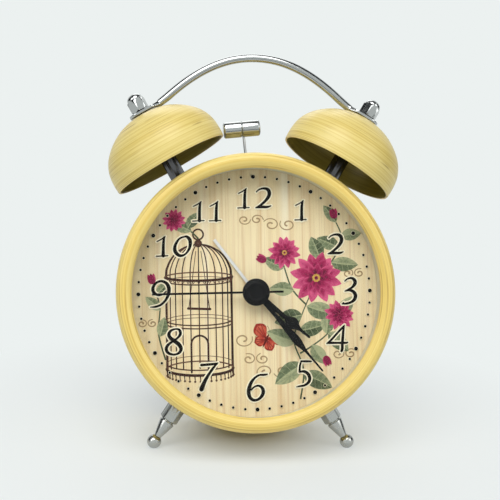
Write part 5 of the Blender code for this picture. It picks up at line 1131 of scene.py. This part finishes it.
def make_switch():
    """Four grip ribs across the red button."""
    for k in range(4):
        x = SWITCH_PLACE[0] - 1.65 + 1.1 * k
        path = [(x, BUTTON_TOP, SWITCH_PLACE[1] + z) for z in (-1.7, 0.0, 1.7)]
        sweep(f"switch_rib_{k + 1}", path, [(0.25, 0.3, 0.2)] * 3, red, "switch", sides=16)


# What stays as packed, with its finish

FINISHES = {
    steel: (
        "bell_screw_left", "bell_screw_right", "leg_nut_left", "leg_nut_right", "time_arbor", "alarm_arbor",
        "stator", "rotor", "hammer_frame", "hammer_pivot_pin", "alarm_motor", "hammer_arm",
        "contact_negative", "contact_positive",
    ),
    brass: ("middle_plate", "minute_pipe", "centre_wheel", "third_wheel", "second_wheel", "motor_pinion"),
    copper: ("coil",),
    cream: ("alarm_wheel", "hour_wheel", "motion_wheel", "step_wheel", "crank_gear"),
    grey: ("movement_front", "movement_lid"),
    green: ("circuit_board",),
    sleeve: ("battery",),
    black: ("back_cover",),
    red_packed: ("alarm_switch",),
    white_packed: ("alarm_hand",),
    black_packed: ("hour_hand", "minute_hand"),
}


def finish_packed_solids():
    """Gives the solids that nothing replaces their own materials."""
    for material, nodes in FINISHES.items():
        for node in nodes:
            mesh = frame["nodes"][node].data
            mesh.materials.clear()
            mesh.materials.append(material)


# Floor, light and camera

ROOM = "ECF1F0"
# From here out the camera sees the table as bright as the room, in metres
GLOW_REACH = 0.12


def make_studio():
    """A pale table in a pale room, soft lamps round the clock, and dark cards for its chrome."""
    world = bpy.data.worlds.new("pale_room")
    bpy.context.scene.world = world
    world.use_nodes = True
    tree = world.node_tree
    shown = add(tree, "Mix", {0: seen_directly(tree), 6: "989A9C", 7: ROOM}, data_type="RGBA").outputs[2]
    tree.links.new(shown, tree.nodes["Background"].inputs["Color"])

    # The camera sees the table's own shade under the clock, and more of the room's brightness farther off
    made, tree = bare("pale_table")
    matt = add(tree, "BsdfPrincipled", {"Base Color": "E4E7E6", "Roughness": 0.7})
    glow = add(tree, "Emission", {"Color": ROOM, "Strength": 1.0})
    found = add(tree, "TexCoord").outputs["Object"]
    far = add(tree, "VectorMath", {0: found}, operation="LENGTH").outputs["Value"]
    far = add(tree, "Math", {0: far, 1: GLOW_REACH}, operation="DIVIDE")
    share = add(tree, "ValToRGB", {"Fac": far}, [(0.07, 0.0), (0.20, 0.36), (0.30, 0.50), (1.0, 1.0)])
    part = add(tree, "Math", {0: seen_directly(tree), 1: share}, operation="MULTIPLY")
    both = add(tree, "MixShader", {0: part, 1: matt, 2: glow})
    add(tree, "OutputMaterial", {"Surface": both})
    stage_sheet("table", (0.0, 0.0, 0.0), (0.0, 0.0, 1.0), 3.0, 3.0, made)

    cards = {}
    for name, low, high in (("dark_card", "2A2C2E", "34373A"), ("grey_card", "77797B", "818385")):
        cards[name], tree = bare(name)
        weave = add(tree, "TexNoise", {"Vector": on_solid(tree, (50.0, 50.0, 50.0)), "Scale": 1.0,
                                       "Detail": 2.0})
        tone = add(tree, "ValToRGB", {"Fac": weave}, [(0.3, low), (0.7, high)])
        coated(cards[name], {"Base Color": tone, "Roughness": 0.9})
    for name, place, toward, width, height, card in (
        ("card_above", (0.0, 0.15, 1.0), (0.0, 0.0, -1.0), 0.9, 0.7, "grey_card"),
        ("card_in_front", (0.0, -0.64, 0.005), (0.0, 0.0, 1.0), 0.7, 0.27, "dark_card"),
        ("card_left", (-0.95, 0.10, 0.30), (0.95, -0.10, -0.24), 0.5, 0.6, "dark_card"),
        ("card_right", (1.00, 0.20, 0.25), (-1.00, -0.20, -0.19), 0.4, 0.5, "dark_card"),
    ):
        stage_sheet(name, place, toward, width, height, cards[card]).visible_camera = False

    for name, place, size, power in (
        ("soft_top", (-0.08, -0.30, 0.70), 0.6, 3.95),
        ("soft_left", (-0.62, -0.42, 0.50), 0.5, 1.45),
        ("soft_right", (0.64, -0.38, 0.46), 0.5, 1.15),
        ("soft_back", (0.0, 0.7, 0.6), 0.6, 1.4),
    ):
        light = bpy.data.lights.new(name, "AREA")
        light.shape, light.size, light.energy = "DISK", size, power
        lamp = bpy.data.objects.new(name, light)
        lamp.location = place
        lamp.rotation_euler = (Vector((0, 0, 0.06)) - Vector(place)).to_track_quat("-Z", "Y").to_euler()
        bpy.context.scene.collection.objects.link(lamp)


def seen_directly(tree):
    """One for what the camera, a mirror or a clear piece shows, and 0 for light that falls on things."""
    rays = add(tree, "LightPath")
    seen = add(tree, "Math", {0: rays.outputs["Is Camera Ray"], 1: rays.outputs["Is Glossy Ray"]},
               operation="MAXIMUM")
    return add(tree, "Math", {0: seen, 1: rays.outputs["Is Transmission Ray"]}, operation="MAXIMUM")


def stage_sheet(name, place, toward, half_width, half_height, material):
    """A flat sheet of the studio that faces a direction."""
    mesh = bpy.data.meshes.new(name)
    turn = Vector(toward).to_track_quat("Z", "Y").to_matrix()
    corners = [(-1, -1), (1, -1), (1, 1), (-1, 1)]
    points = [Vector(place) + turn @ Vector((x * half_width, y * half_height, 0)) for x, y in corners]
    mesh.from_pydata(points, [], [(0, 1, 2, 3)])
    mesh.materials.append(material)
    made = bpy.data.objects.new(name, mesh)
    bpy.context.scene.collection.objects.link(made)
    return made


def make_camera():
    """The picture's view: turned a little to one side of the clock, and a little above it."""
    pitch, yaw, roll = radians(3.60), radians(-5.55), radians(-0.49)
    # The picture's right, up and away directions in the clock's X, Y and Z
    cr, sr = cos(roll), sin(roll)
    flat, upward, away = (
        Vector((cos(yaw), sin(yaw), 0)),
        Vector((sin(pitch) * sin(yaw), -sin(pitch) * cos(yaw), cos(pitch))),
        Vector((-cos(pitch) * sin(yaw), cos(pitch) * cos(yaw), sin(pitch))),
    )
    right = flat * cr - upward * sr
    up = flat * sr + upward * cr
    # The middle of the dial is 2.46 mm right of the view's middle, 12.59 below it and 350 away
    where = -(right * 2.46 + up * -12.59 + away * 350.0)
    camera = bpy.data.cameras.new("camera")
    # A focal length of 1159.2 pixels on a picture 500 wide
    camera.sensor_width, camera.lens = 36.0, 83.46
    camera.clip_start, camera.clip_end = 0.01, 20.0
    body = bpy.data.objects.new("camera", camera)
    bpy.context.scene.collection.objects.link(body)
    rows = Matrix((right, up, -away)).transposed().to_4x4()
    body.matrix_world = CLOCK @ Matrix.Translation(where * MM) @ rows
    bpy.context.scene.camera = body


make_case()
make_bells()
make_handle()
make_legs()
make_hammer()
make_hands()
make_dial()
make_garden_print()
make_numerals()
make_knobs()
make_cover_trim()
make_door()
make_switch()
finish_packed_solids()
make_studio()
make_camera()
bpy.context.scene.view_settings.view_transform = "Standard"
